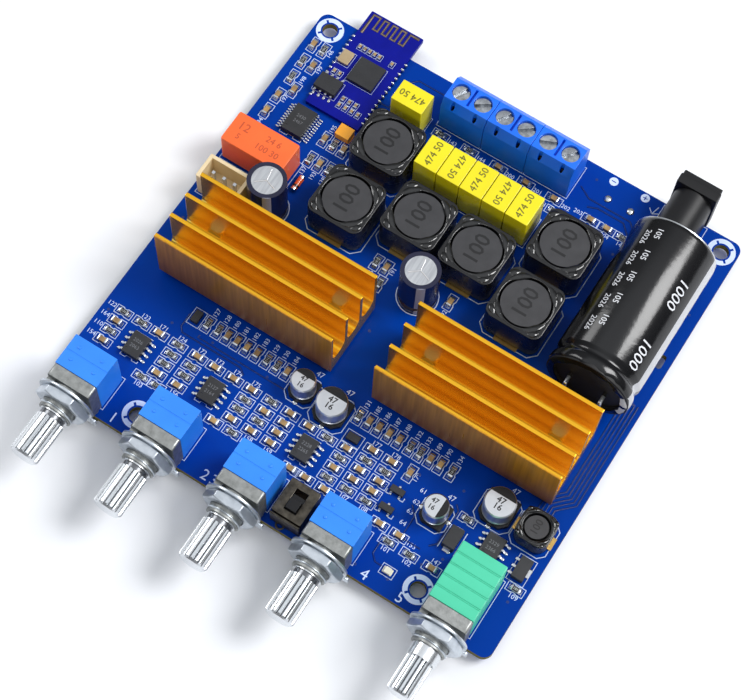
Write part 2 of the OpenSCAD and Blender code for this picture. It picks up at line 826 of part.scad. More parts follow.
module fluted_rod(r, l) {
    intersection() {
        linear_extrude(l) difference() {
            circle(r = r);
            for (i = [0 : flute_count - 1]) rotate(i * 360 / flute_count) translate([r, 0])
                rotate(45) square(flute_depth * sqrt(2), center = true);
        }
        rotate_extrude() polygon([
            [0, 0], [r + 1, 0], [r + 1, l - tip_chamfer - 1], [r - tip_chamfer, l], [0, l]
        ]);
    }
}
// The shaft is drawn along z from its inner end: collar, journal in the bushing, then the knob's seat
module tone_shaft(x) {
    neck_z = bushing_end + neck_gap;
    translate([x, bracket_back - collar_room, shaft_axis_h]) facing_front() {
        cylinder(r = collar_r, h = collar_t);
        cylinder(r = shaft_r, h = neck_z);
        cylinder(r = shaft_r - neck_depth, h = neck_z + neck_l + eps);
        translate([0, 0, neck_z + neck_l]) fluted_rod(shaft_r, shaft_l - neck_z - neck_l);
    }
}
module volume_shaft() color("#cfd2d6") on_board() {
    seat_z = bushing_end + volume_collar_l;
    translate([volume_x, bracket_back - collar_room, shaft_axis_h]) facing_front() {
        cylinder(r = collar_r, h = collar_t);
        cylinder(r = shaft_r, h = seat_z);
        translate([0, 0, seat_z - eps]) fluted_rod(volume_flute_r, shaft_l - seat_z + eps);
    }
}
module tone_shaft_node(i) color("#cfd2d6") on_board() tone_shaft(tone_x[i]);

// Slide switch
module switch_shell() color("#555046") on_board() translate([switch_x, switch_y, 0]) {
    difference() {
        linear_extrude(switch_h) round_rect(switch_w, switch_l, switch_round);
        translate([0, 0, -eps]) block(switch_room_w, switch_room_l, switch_h - switch_wall + eps);
        block(window_w, window_l, switch_h + 1);
    }
    // Front plate, folded up from the shell's foot, with an eyelet
    translate([0, switch_plate_y, 0]) {
        block(switch_w, switch_plate_t, switch_h - switch_wall);
        translate([0, switch_plate_t / 2, 0])
            block(switch_w - 2 * switch_round, 2 * (switch_plate_gap + eps), plate_tie_h);
        translate([eyelet_x, -switch_plate_t / 2, 0]) linear_extrude(eyelet_t) difference() {
            circle(r = eyelet_r);
            circle(r = eyelet_hole_r);
            translate([-eyelet_r, eps]) square(2 * eyelet_r);
        }
    }
}
module switch_base() color("#3a2a1c") on_board() translate([switch_x, switch_y, 0])
    block(switch_room_w - 2 * fastener_clear, switch_room_l - 2 * fastener_clear, switch_base_t);
module switch_slider() color("#101012") on_board()
    translate([switch_x, switch_y - switch_travel / 2, switch_base_t + sliding_clear]) {
        block(slider_w, slider_l, switch_h - switch_wall - switch_base_t - 2 * sliding_clear);
        block(knob_w, knob_l, switch_h + knob_proud - switch_base_t - sliding_clear);
    }

// Screw terminals: housings in a row; in each way a screw climbs a cage that lifts the wire to a bar
module terminal_profile() polygon([
    [terminal_front, 0], [terminal_front, terminal_h - chamfer_drop],
    [terminal_front + chamfer_run, terminal_h], [terminal_back - slope_run, terminal_h],
    [terminal_back, terminal_h - slope_drop], [terminal_back, 0]
]);
module terminal_way_cut() {
    cavity_w = cage_w + 2 * sliding_clear;
    cavity_d = cage_d + 2 * sliding_clear + leg_room;
    entry_w = cage_w - 2 * cage_wall;
    cavity_h = head_z - sliding_clear - block_floor;
    translate([0, -leg_room / 2, block_floor]) block(cavity_w, cavity_d, cavity_h);
    translate([-entry_w / 2, cage_d / 2, bar_z - wire_gap]) cube([entry_w, terminal_d, wire_gap + bar_t]);
    translate([0, 0, head_z - 1]) cylinder(r = terminal_head_d / 2 + sliding_clear, h = terminal_h);
    translate([0, contact_leg_y, -eps]) cylinder(r = contact_tail_r + drill_clear, h = block_floor + 1);
    translate([0, terminal_front - terminal_y + chamfer_run / 2, terminal_h - notch_depth])
        block(notch_w, chamfer_run, terminal_h);
}
module terminal_blocks() color("#1473e6") on_board()
    for (first = [0 : ways_per_block : terminal_count - 1]) difference() {
        translate([terminal_x[first] - terminal_pitch / 2 + block_gap / 2, 0, 0]) rotate([90, 0, 90])
            linear_extrude(ways_per_block * terminal_pitch - block_gap) terminal_profile();
        for (way = [0 : ways_per_block - 1])
            translate([terminal_x[first + way], terminal_y, 0]) terminal_way_cut();
        translate([terminal_x[first] + terminal_pitch / 2, terminal_y, terminal_h - groove_depth])
            block(groove_w, groove_l, terminal_h);
    }
module terminal_contacts() color("#c0a060") on_board() for (x = terminal_x) translate([x, terminal_y, 0]) {
    bar_start = contact_leg_y - bar_t / 2;
    translate([-bar_w / 2, bar_start, bar_z]) cube([bar_w, cage_d / 2 - bar_start, bar_t]);
    translate([0, contact_leg_y, block_floor]) block(bar_w, bar_t, bar_z + bar_t - block_floor);
    translate([0, contact_leg_y, 0]) {
        cylinder(r = contact_tail_r, h = block_floor + eps);
        tail(contact_tail_r);
    }
}
module terminal_screw(i) color("#b8bcc0") on_board() translate([terminal_x[i], terminal_y, 0]) difference() {
    tip_z = bar_z + bar_t + rest_gap;
    union() {
        translate([0, 0, head_z]) cylinder(d = terminal_head_d, h = head_t);
        translate([0, 0, tip_z]) cylinder(d = terminal_thread_d, h = head_z - tip_z + eps);
    }
    translate([0, 0, head_z + head_t - head_slot_depth]) rotate(screw_turn[i])
        block(terminal_head_d + 1, head_slot_w, head_slot_depth + 1);
}
module terminal_clamp(i) color("#c9ccd0") on_board() translate([terminal_x[i], terminal_y, cage_z]) {
    difference() {
        block(cage_w, cage_d, cage_h);
        translate([0, 0, cage_wall])
            block(cage_w - 2 * cage_wall, cage_d + 1, cage_h - cage_wall - cage_top_t);
        cylinder(r = terminal_thread_d / 2 + running_clear, h = cage_h + 1);
    }
}

// Power jack
module dc_jack_body() color("#16161a") on_board() translate([jack_x, 0, 0]) difference() {
    union() {
        translate([0, jack_back - jack_lip_t / 2, 0])
            block(jack_w - 2 * jack_lip_inset, jack_lip_t, jack_h - jack_lip_inset);
        translate([0, jack_back - (jack_flange_t + jack_lip_t) / 2, 0])
            block(jack_w, jack_flange_t - jack_lip_t + 2 * eps, jack_h);
        translate([0, (jack_inner + jack_back) / 2, 0]) block(2 * barrel_r, jack_l, jack_axis_h);
        translate([0, jack_back, jack_axis_h]) facing_front() cylinder(r = barrel_r, h = jack_l);
    }
    translate([0, jack_back + eps, jack_axis_h]) facing_front() cylinder(d = socket_d, h = socket_depth);
    translate([0, jack_back, jack_axis_h]) facing_front()
        cylinder(r = socket_pin_d / 2 + fastener_clear, h = jack_l + 1);
    translate([0, jack_inner + jack_plate_t / 2 - eps, -eps])
        block(jack_plate_w, jack_plate_t + 2 * eps, jack_plate_h + eps);
    translate([0, jack_tails[0][1], -eps]) cylinder(r = jack_tail_r + fastener_clear, h = jack_root_h + eps);
    translate([0, spring_y, -eps]) block(spring_w, spring_room, jack_axis_h);
    translate([side_tail_inset - side_tab_out - jack_w / 2, side_tail_y, -eps])
        block(side_slot_t, side_tab_l, side_tab_h + eps);
}
module dc_jack_pin() color("#d0cfc8") on_board() translate([jack_x, 0, 0]) {
    translate([0, jack_back - jack_pin_tip, jack_axis_h]) facing_front()
        cylinder(r = socket_pin_d / 2, h = jack_l - jack_pin_tip - eps);
    translate([0, jack_inner + jack_plate_t / 2, 0]) block(jack_plate_w, jack_plate_t, jack_plate_h);
    translate([0, jack_tails[0][1], 0]) {
        cylinder(r = jack_tail_r, h = jack_root_h);
        tail(jack_tail_r);
    }
}
module dc_jack_contacts() color("#c7b98a") on_board() {
    translate([jack_x, jack_tails[1][1], 0]) {
        block(spring_w, 2 * spring_t, socket_floor + spring_proud);
        translate([0, -spring_run / 2, socket_floor + spring_proud - spring_t])
            block(spring_w, spring_run, spring_t);
        tail(jack_tail_r);
    }
    translate([jack_tails[2][0], side_tail_y, 0]) {
        translate([-side_tab_out, 0, 0]) block(side_tab_t, side_tab_l, side_tab_h);
        tail(jack_tail_r);
    }
}

// Bulk capacitor, lying along Y; z runs from its plain end to the end with the leads
module bulk_axis() translate([bulk_x, bulk_back, bulk_axis_h]) facing_front() children();
function bead_profile(r, l) = [
    [r, l - bead_from_end - bead_w / 2], [r - bead_depth, l - bead_from_end - bead_w / 6],
    [r - bead_depth, l - bead_from_end + bead_w / 6], [r, l - bead_from_end + bead_w / 2]
];
module bulk_capacitor_can() color("#1b1b1d") on_board() {
    r = bulk_d / 2 - sleeve_t;
    bulk_axis() rotate_extrude() polygon(concat(
        [[0, sleeve_t], [r, sleeve_t]], bead_profile(r, bulk_l),
        [[r, bulk_l - sleeve_t], [r - lip_w, bulk_l - sleeve_t]],
        [[r - lip_w, bulk_l - bung_depth], [0, bulk_l - bung_depth]]
    ));
    for (at = bulk_tails) translate([at[0], at[1], 0]) {
        translate([0, bulk_lead_run + bung_depth, bulk_axis_h]) facing_front()
            translate([0, 0, -eps]) cylinder(r = bulk_lead_r, h = bulk_lead_run + bung_depth + eps);
        translate([0, 0, bulk_axis_h]) sphere(r = bulk_lead_r);
        cylinder(r = bulk_lead_r, h = bulk_axis_h);
        tail(bulk_lead_r);
    }
}
module bulk_capacitor_sleeve() color("#0c0c0e") on_board() {
    r = bulk_d / 2;
    bulk_axis() rotate_extrude() difference() {
        polygon(concat([[0, 0], [r, 0]], bead_profile(r, bulk_l), [[r, bulk_l], [0, bulk_l]]));
        polygon(concat(
            [[0, sleeve_t], [r - sleeve_t, sleeve_t]], bead_profile(r - sleeve_t, bulk_l),
            [[r - sleeve_t, bulk_l - sleeve_t], [0, bulk_l - sleeve_t]]
        ));
        translate([0, -end_cut / 2]) square([r - lip_w, end_cut]);
        translate([0, bulk_l - end_cut / 2]) square([r - lip_w + lip_cover, end_cut]);
    }
}

// Upright capacitors
function groove(r) = [
    [r, filter_bead_h - filter_bead_w / 2], [r - filter_bead_depth, filter_bead_h - filter_bead_w / 6],
    [r - filter_bead_depth, filter_bead_h + filter_bead_w / 6], [r, filter_bead_h + filter_bead_w / 2]
];
module filter_can_profile() {
    r = filter_d / 2 - sleeve_t;
    polygon(concat(
        [[0, 0], [r - foot_lip, 0], [r - foot_lip, sleeve_t], [r, sleeve_t]], groove(r),
        [[r, filter_h - sleeve_t], [r - top_lip, filter_h - sleeve_t], [r - top_lip, filter_h], [0, filter_h]]
    ));
}
module filter_capacitor_cans() color("#c8ccd0") on_board()
    for (at = filters) translate([at[0], at[1], 0]) rotate_extrude() filter_can_profile();
module filter_capacitor_sleeves() color("#1a1d4a") on_board()
    for (at = filters) translate([at[0], at[1], 0]) rotate_extrude() difference() {
        r = filter_d / 2;
        polygon(concat([[0, 0], [r, 0]], groove(r), [[r, filter_h], [0, filter_h]]));
        filter_can_profile();
    }

// Surface-mount aluminium capacitors on chamfered plastic bases
module smd_capacitor_cans() color("#d4d6d8") on_board()
    for (at = smd_cans) translate([at[0], at[1], smd_base_h]) {
        r = at[2] / 2;
        h = smd_can_h - smd_base_h;
        rotate_extrude() polygon([
            [0, 0], [r - smd_foot, 0], [r, smd_foot], [r, smd_bead_h - smd_bead_w / 2],
            [r - smd_bead_depth, smd_bead_h - smd_bead_w / 5],
            [r - smd_bead_depth, smd_bead_h + smd_bead_w / 5],
            [r, smd_bead_h + smd_bead_w / 2], [r, h - smd_edge], [r - smd_edge, h], [0, h]
        ]);
    }
module smd_capacitor_bases() color("#131315") on_board()
    for (at = smd_cans) translate([at[0], at[1], chip_clear]) rotate(at[3])
        linear_extrude(smd_base_h - chip_clear) {
            s = at[2] / 2 + smd_base_margin / 2;
            cut = s * smd_base_cut;
            polygon([[-s, s], [s, s], [s, cut - s], [s - cut, -s], [cut - s, -s], [-s, cut - s]]);
        }

// Film capacitors: moulded boxes on small feet
module film_box(w, d) {
    translate([0, 0, film_foot]) linear_extrude(film_h - film_foot) round_rect(w, d, film_round);
    for (sx = [-1, 1], sy = [-1, 1]) translate([sx * (w / 2 - foot_w), sy * (d / 2 - foot_w), 0])
        block(foot_w, foot_w, film_foot + eps);
}
module film_capacitors() color("#faf01e") on_board() {
    for (x = film_row_x) translate([x, film_row_y, 0]) film_box(film_t, film_l);
    translate([film_single[0], film_single[1], 0]) film_box(film_l, film_t);
}

// Shielded inductors: a square ferrite shield round a drum core, soldered by two clips
module shield(w, h) difference() {
    translate([0, 0, clip_t]) linear_extrude(h - clip_t) round_rect(w, w, shield_round);
    translate([0, 0, core_floor]) cylinder(r = w / 2 - shield_wall, h = h);
}
module core(w, h) translate([0, 0, core_floor])
    cylinder(r = w / 2 - shield_wall - core_gap, h = h - core_floor - core_drop);
module clip_pair(w, clip) for (side = [-1, 1])
    translate([0, side * (w / 2 + (clip_out - clip_in) / 2), 0]) block(clip, clip_out + clip_in, clip_t);
module inductor_shields() color("#37373a") on_board() {
    for (at = power_inductors) translate([at[0], at[1], 0]) shield(inductor_w, inductor_h);
    translate([small_inductor[0], small_inductor[1], 0]) shield(small_inductor_w, small_inductor_h);
}
module inductor_cores() color("#2e2e31") on_board() {
    for (at = power_inductors) translate([at[0], at[1], 0]) core(inductor_w, inductor_h);
    translate([small_inductor[0], small_inductor[1], 0]) core(small_inductor_w, small_inductor_h);
}
module inductor_terminals() color("#b99a55") on_board() {
    for (at = power_inductors) translate([at[0], at[1], 0]) clip_pair(inductor_w, clip_w);
    translate([small_inductor[0], small_inductor[1], 0]) rotate(90) clip_pair(small_inductor_w, clip_w / 2);
}

// Relay and input header
module signal_relay() color("#fa6e2d") on_board() translate([relay_x, relay_y, 0]) {
    block(relay_l - 2 * relay_inset, relay_w - 2 * relay_inset, relay_foot + eps);
    translate([0, 0, relay_foot]) linear_extrude(relay_h - relay_foot)
        round_rect(relay_l, relay_w, relay_round);
}
module input_header_housing() color("#e1cda5") on_board() translate([header_x, header_y, 0]) difference() {
    linear_extrude(header_h) round_rect(header_l, header_d, header_round);
    translate([0, 0, header_floor]) block(header_l - 2 * header_wall, header_d - 2 * header_wall, header_h);
    for (side = [-1, 1])
        translate([side * header_pitch, -header_d / 2, header_floor + header_slot_from_floor])
            block(header_slot_w, header_slot_l, header_h);
    for (pin = header_pins) translate([pin[0] - header_x, 0, -eps])
        block(header_pin_w, header_pin_w, header_floor + 1);
}
module input_header_pins() color("#d6d2c2") on_board() for (pin = header_pins) translate([pin[0], pin[1], 0])
    block(header_pin_w, header_pin_w, header_pin_h);

// Radio module with plated half-holes along its long sides
module radio_outline() difference() {
    round_rect(module_w, module_l, module_round);
    for (side = [-1, 1], i = [0 : castellation_count - 1])
        translate([side * module_w / 2, castellation_start + i * castellation_pitch - module_l / 2])
            circle(r = castellation_r);
}
module radio_board() color("#140f8c") on_board()
    translate([module_x, module_y, 0]) linear_extrude(module_t) radio_outline();
module radio_chips() color("#202024") on_board() translate([0, 0, module_t]) {
    translate([radio_qfn[0], radio_qfn[1], 0]) block(qfn_w, qfn_w, qfn_h);
    translate([radio_memory[0], radio_memory[1], 0]) rotate(90) moulded_chip(sop8[0], sop8[1], sop8[2]);
    for (row = radio_rows, x = row[1]) translate([module_x - module_w / 2 + x, module_back - row[0], 0])
        block(radio_chip_w, radio_chip_l, radio_chip_h);
}
module radio_crystal() color("#cfae62") on_board()
    translate([radio_crystal_at[0], radio_crystal_at[1], module_t])
        linear_extrude(crystal_h) round_rect(crystal_w, crystal_l, crystal_round);

// Chips with gull-wing leads
module lead(w, reach, rise) translate([0, w / 2, 0]) rotate([90, 0, 0]) linear_extrude(w) polygon([
    [0, rise], [0.35 * reach, rise], [0.55 * reach, lead_t], [reach, lead_t], [reach, 0], [0.45 * reach, 0],
    [0.25 * reach, rise - lead_t], [0, rise - lead_t]
]);
module lead_rows(kind) for (turn = [0, 180], i = [0 : kind[3] - 1]) rotate(turn)
    translate([kind[0] / 2, (i - (kind[3] - 1) / 2) * kind[4], 0]) lead(kind[5], kind[6], kind[2] * 0.55);
// Moulded body with drafted sides along the leads and a dimple by its first pin
module moulded_chip(w, l, h) difference() {
    translate([0, l / 2, 0]) rotate([90, 0, 0]) linear_extrude(l) polygon([
        [chip_draft - w / 2, chip_clear], [w / 2 - chip_draft, chip_clear], [w / 2, h / 2],
        [w / 2 - chip_draft, h], [chip_draft - w / 2, h], [-w / 2, h / 2]
    ]);
    translate([dimple_inset - w / 2, dimple_inset - l / 2, h - dimple_depth]) cylinder(r = dimple_r, h = h);
}
module control_chips() color("#262629") on_board()
    for (chip = chips) translate([chip[0], chip[1], 0]) rotate(chip[2])
        moulded_chip(chip[3][0], chip[3][1], chip[3][2]);
module chip_leads() color("#d8dade") on_board() {
    for (chip = chips) translate([chip[0], chip[1], 0]) rotate(chip[2]) lead_rows(chip[3]);
    translate([radio_memory[0], radio_memory[1], module_t]) rotate(90) lead_rows(sop8);
    for (side = [-1, 1]) translate([side * heatsink_x, heatsink_y, 0]) rotate(90) lead_rows(amp_chip);
    for (at = transistors, foot = [[0, 90], [-transistor_foot_x, -90], [transistor_foot_x, -90]])
        translate([at[0] + foot[0], at[1], 0]) rotate(foot[1])
            translate([transistor_w / 2, 0, 0])
                lead(transistor_lead[0], transistor_lead[1], transistor_lead[2]);
    for (i = [-1 : 1]) translate([regulator[0], regulator[1] + i * regulator_pitch, 0]) rotate(180)
        translate([regulator_w / 2, 0, 0]) flat_lead(regulator_lead[0], regulator_lead[1], flat_lead_t);
    translate([regulator[0] + regulator_w / 2, regulator[1], 0])
        flat_lead(regulator_tab[0], regulator_tab[1], flat_lead_t);
    for (turn = [90, -90]) translate([rectifier[0], rectifier[1], 0]) rotate(turn)
        translate([rectifier_l / 2, 0, 0]) lead(rectifier_lead[0], rectifier_lead[1], rectifier_lead[2]);
    for (at = smd_cans, turn = [90, -90]) translate([at[0], at[1], 0]) rotate(turn + at[3])
        translate([at[2] / 2 - smd_lead_in, 0, 0])
            flat_lead(smd_lead_w, smd_base_margin + smd_lead_l, chip_clear);
}
module flat_lead(w, l, t) translate([0, -w / 2, 0]) cube([l, w, t]);

// Diodes, transistors and the small regulator
module small_semiconductors() color("#19191b") on_board() {
    for (at = transistors) translate([at[0], at[1], chip_clear])
        block(transistor_l, transistor_w, transistor_h);
    translate([regulator[0], regulator[1], 0]) block(regulator_w, regulator_l, regulator_h);
    translate([rectifier[0], rectifier[1], chip_clear]) block(rectifier_w, rectifier_l, rectifier_h);
    for (at = diodes_across) translate([at[0], at[1], 0]) block(diode_l, diode_w, diode_h);
    for (at = diodes_along) translate([at[0], at[1], 0]) block(diode_w, diode_l, diode_h);
}

// Chip resistors and capacitors: a body between two plated end caps
module chip_part(h) {
    block(chip_l - 2 * cap_l + 2 * eps, chip_w - 2 * cap_proud, h - cap_proud);
    for (side = [-1, 1]) translate([side * (chip_l - cap_l) / 2, 0, 0]) block(cap_l, chip_w, h);
}
module chip_rows(rows, turn, h)
    for (row = rows, x = row[1]) translate([x, row[0], 0]) rotate(turn) chip_part(h);
module chip_resistors() color("#3d3f45") on_board() {
    chip_rows(resistors_across, 0, chip_h);
    chip_rows(resistors_along, 90, chip_h);
}
module chip_capacitors() color("#b98f5a") on_board() {
    chip_rows(capacitors_across, 0, ceramic_h);
    chip_rows(capacitors_along, 90, ceramic_h);
}
module tantalum_capacitor() color("#faaa28") on_board() translate([tantalum_at[0], tantalum_at[1], 0]) {
    translate([0, 0, chip_clear]) block(tantalum_l, tantalum_w, tantalum_h);
    for (side = [-1, 1]) translate([side * tantalum_foot_x, 0, 0])
        block(tantalum_foot[0], tantalum_foot[1], chip_clear + eps);
}
module glass_diode() color("#d4622a") on_board()
    translate([glass_diode_at[0], glass_diode_at[1] + glass_diode_l / 2, glass_diode_r + lay_gap])
        facing_front() {
            cylinder(r = glass_diode_r - glass_cap_proud, h = glass_diode_l);
            for (z = [0, glass_diode_l - glass_cap_l]) translate([0, 0, z])
                cylinder(r = glass_diode_r, h = glass_cap_l);
        }
module status_led() color("#e9e6d8") on_board() translate([led_at[0], led_at[1], 0]) {
    block(led_l, led_w, led_base_h);
    translate([0, 0, led_base_h - eps]) linear_extrude(led_lens_h)
        round_rect(led_lens_l, led_w, led_lens_round);
}

circuit_board();
heatsink_left();
heatsink_right();
heatsink_screws();
amplifier_chips();
bulk_capacitor_can();
bulk_capacitor_sleeve();
filter_capacitor_cans();
filter_capacitor_sleeves();
smd_capacitor_cans();
smd_capacitor_bases();
inductor_shields();
inductor_cores();
inductor_terminals();
film_capacitors();
signal_relay();
dc_jack_body();
dc_jack_pin();
dc_jack_contacts();
terminal_blocks();
terminal_contacts();
for (i = [0 : terminal_count - 1]) {
    terminal_screw(i);
    terminal_clamp(i);
}
input_header_housing();
input_header_pins();
radio_board();
radio_chips();
radio_crystal();
control_chips();
chip_leads();
small_semiconductors();
chip_resistors();
chip_capacitors();
tantalum_capacitor();
glass_diode();
status_led();
tone_control_bodies();
volume_control_body();
control_brackets();
control_washers();
control_nuts();
for (i = [0 : len(tone_x) - 1]) tone_shaft_node(i);
volume_shaft();
switch_shell();
switch_base();
switch_slider();
solder_joints();
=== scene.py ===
# %% [markdown]
# # Dressing an audio amplifier board
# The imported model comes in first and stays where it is. Everything after it is looks: finishes for the
# solids, and new pieces for what is too fine for them, such as print, solder, glue and screw threads.

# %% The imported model
import json
import math

import bmesh
import bpy
from mathutils import Matrix, Vector

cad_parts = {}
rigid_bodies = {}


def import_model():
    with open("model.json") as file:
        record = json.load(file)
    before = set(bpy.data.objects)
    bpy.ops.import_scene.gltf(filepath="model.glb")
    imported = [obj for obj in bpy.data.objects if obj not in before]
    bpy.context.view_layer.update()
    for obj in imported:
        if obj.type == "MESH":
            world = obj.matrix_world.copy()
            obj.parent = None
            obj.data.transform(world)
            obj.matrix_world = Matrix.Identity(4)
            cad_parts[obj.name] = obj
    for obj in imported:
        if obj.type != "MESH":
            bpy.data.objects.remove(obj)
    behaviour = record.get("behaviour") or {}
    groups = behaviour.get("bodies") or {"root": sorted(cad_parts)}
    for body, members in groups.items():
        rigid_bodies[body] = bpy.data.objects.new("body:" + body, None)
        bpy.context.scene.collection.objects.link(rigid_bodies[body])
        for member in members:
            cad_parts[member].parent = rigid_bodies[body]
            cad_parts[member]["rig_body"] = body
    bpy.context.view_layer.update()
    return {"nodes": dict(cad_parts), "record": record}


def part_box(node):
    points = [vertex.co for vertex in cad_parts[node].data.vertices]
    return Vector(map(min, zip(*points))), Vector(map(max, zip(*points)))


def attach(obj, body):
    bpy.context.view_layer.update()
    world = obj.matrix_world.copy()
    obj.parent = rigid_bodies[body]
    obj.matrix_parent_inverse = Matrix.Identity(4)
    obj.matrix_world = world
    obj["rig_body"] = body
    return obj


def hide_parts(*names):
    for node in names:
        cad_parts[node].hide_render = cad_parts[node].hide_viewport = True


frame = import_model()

MM = 0.001
SAME_PLACE = 1e-7
board_low, board_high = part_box("circuit_board")


# %% [markdown]
# Places are written in millimetres from the middle of the board's top face, because that is how a circuit
# board is drawn. One function turns them into points of the frame, which is in metres.

# %% Places on the board
def on_board(x, y, z=0.0):
    """A place in millimetres from the middle of the board's top face, as a point of the frame."""
    middle = (board_low + board_high) / 2
    return Vector((middle.x + x * MM, middle.y + y * MM, board_high.z + z * MM))


def from_board(point):
    """The reverse: a point of the frame in millimetres from the middle of the board's top face."""
    return (Vector(point) - on_board(0, 0)) / MM


print("top face of the board at", round(board_high.z / MM, 2), "mm")

# %% [markdown]
# The camera stands in front, to the right and high above. It could be aimed by a constraint, but its roll
# matters too, so its three axes are written down: they come from the board's corners and edges in the
# picture. A long lens keeps the board's sides nearly parallel.

# %% Camera
CAMERA_AT = (65.264, -134.457, 342.485)
LENS, SENSOR = 91.34, 36
camera_right = Vector((0.84447, 0.53451, 0.03417))
camera_up = Vector((-0.50566, 0.77462, 0.37984))
camera_back = Vector((0.17655, -0.33804, 0.92442))
bpy.ops.object.camera_add()
camera = bpy.context.active_object
camera_turn = Matrix((camera_right, camera_up, camera_back)).transposed().to_4x4()
camera.matrix_world = Matrix.Translation(on_board(*CAMERA_AT)) @ camera_turn
camera.data.lens, camera.data.sensor_width = LENS, SENSOR
camera.data.clip_start, camera.data.clip_end = 0.01, 10
bpy.context.scene.camera = camera
print("camera at", [round(c / MM) for c in camera.location])


# %% [markdown]
# A finish is a node tree. Numbers in it are wrapped in a small class, so that shader maths reads like
# Python: each operator adds a Math node. Every other node comes from one method of the finish.

# %% Finishes: numbers
class Number:
    """A number in a finish's node tree."""

    def __init__(self, finish, socket):
        self.finish, self.socket = finish, socket

    def math(self, operation, first, second):
        return self.finish.node("ShaderNodeMath", {"operation": operation}, {0: first, 1: second})

    def __add__(self, other):
        return self.math("ADD", self, other)

    def __radd__(self, other):
        return self.math("ADD", other, self)

    def __sub__(self, other):
        return self.math("SUBTRACT", self, other)

    def __rsub__(self, other):
        return self.math("SUBTRACT", other, self)

    def __mul__(self, other):
        return self.math("MULTIPLY", self, other)

    def __rmul__(self, other):
        return self.math("MULTIPLY", other, self)

    def __truediv__(self, other):
        return self.math("DIVIDE", self, other)

    def __mod__(self, other):
        return self.math("FLOORED_MODULO", self, other)

    def __gt__(self, other):
        return self.math("GREATER_THAN", self, other)

    def __lt__(self, other):
        return self.math("LESS_THAN", self, other)

    def __abs__(self):
        return self.math("ABSOLUTE", self, 0)


print("shader maths can be written now")


# %% [markdown]
# Most materials of a real object are one colour that drifts a little, with a fine grain and a gloss that
# is not the same everywhere. One function mixes such a finish, so that no piece looks like flat paint. All
# patterns follow the place of a point on the piece, in metres, and need no unwrapping.

# %% Finishes: materials
def srgb(red, green, blue):
    """A screen colour, 0 to 255, as the linear colour that a shader takes."""
    linear = [((c / 255 + 0.055) / 1.055) ** 2.4 if c > 10 else c / 255 / 12.92 for c in (red, green, blue)]
    return (*linear, 1.0)


class Finish:
    """A procedural material. Constant values sit on the shader's own sockets; the rest is linked to them."""

    def __init__(self, name, colour, roughness, metallic=0.0, **constants):
        self.material = bpy.data.materials.new(name)
        self.material.use_nodes = True
        self.tree = self.material.node_tree
        self.shader = self.tree.nodes["Principled BSDF"]
        self.set("Base Color", srgb(*colour))
        self.set("Roughness", roughness)
        self.set("Metallic", metallic)
        for socket, value in constants.items():
            self.set(socket.replace("_", " "), value)

    def set(self, socket, value):
        self.fill(self.shader.inputs[socket], value)

    def fill(self, socket, value):
        if isinstance(value, Number):
            self.tree.links.new(value.socket, socket)
        else:
            socket.default_value = value

    def node(self, kind, settings=None, inputs=None, output=0):
        made = self.tree.nodes.new(kind)
        for name, value in (settings or {}).items():
            setattr(made, name, value)
        for name, value in (inputs or {}).items():
            self.fill(made.inputs[name], value)
        return Number(self, made.outputs[output])

    def place(self):
        """The point on the piece, as a vector."""
        return self.node("ShaderNodeTexCoord", output=3)

    def axes(self):
        """The point's x, y and z in metres."""
        split = self.node("ShaderNodeSeparateXYZ", inputs={0: self.place()}).socket.node
        return [Number(self, split.outputs[i]) for i in range(3)]

    def facing(self, axis):
        """How far the surface faces along an axis, from -1 to 1."""
        normal = self.node("ShaderNodeNewGeometry", output=1)
        split = self.node("ShaderNodeSeparateXYZ", inputs={0: normal}).socket.node
        return Number(self, split.outputs[axis])

    def noise(self, scale, detail=2.0, stretch=None):
        """Noise with so many features a metre, finer along an axis whose stretch is above 1."""
        point = self.place()
        if stretch:
            point = self.node("ShaderNodeMapping", inputs={0: point, 3: stretch})
        return self.node("ShaderNodeTexNoise", inputs={0: point, 2: scale, 3: detail})

    def mix(self, share, first, second):
        """A colour between two colours."""
        return self.node("ShaderNodeMix", {"data_type": "RGBA", "clamp_factor": True},
                         {0: share, 6: first, 7: second}, output=2)

    def bump(self, height, depth):
        """Relief of so many millimetres."""
        self.set("Normal", self.node("ShaderNodeBump", inputs={
            "Strength": 1.0, "Distance": depth * MM, "Height": height}))


def finish(name, colour, other, roughness, metallic=0.0, patch=350, grain=5000, depth=0.01, spread=0.1,
           stretch=None, **constants):
    """A finish that drifts between two colours, with fine grain, and a gloss that changes a little."""
    made = Finish(name, colour, roughness, metallic, **constants)
    drift = made.noise(patch, 3, stretch)
    made.set("Base Color", made.mix(drift * 1.6 - 0.3, srgb(*colour), srgb(*other)))
    made.set("Roughness", drift * spread + (roughness - spread / 2))
    made.bump(made.noise(grain, 2, stretch), depth)
    return made


def dress(piece, coat, body="board", replaced=()):
    """Gives a new piece its finish and its body, and hides what it stands for."""
    piece.data.materials.clear()
    piece.data.materials.append(coat.material)
    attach(piece, body)
    for node in replaced:
        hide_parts(node)
    return piece


print("finishes can be mixed now")

# %% [markdown]
# The studio is plain: a pale floor, a soft lamp behind the board on the right that throws the shadows to
# the left, a weaker one on the left for long highlights, and one in front. A surround of one shade would
# leave bright metal flat, so it is white above and darkens towards the horizon.

# %% Floor, lamps and surround
bpy.context.scene.view_settings.view_transform = "Standard"
floor_finish = Finish("pale_floor", (243, 244, 247), 0.55)
floor_drift = floor_finish.noise(6, 1)
floor_finish.set("Base Color", floor_finish.mix(floor_drift, srgb(246, 247, 250), srgb(238, 240, 244)))
bpy.ops.object.select_all(action="DESELECT")
bpy.ops.mesh.primitive_plane_add(size=6)
floor = bpy.context.active_object
floor.name = "floor"
floor.data.materials.append(floor_finish.material)

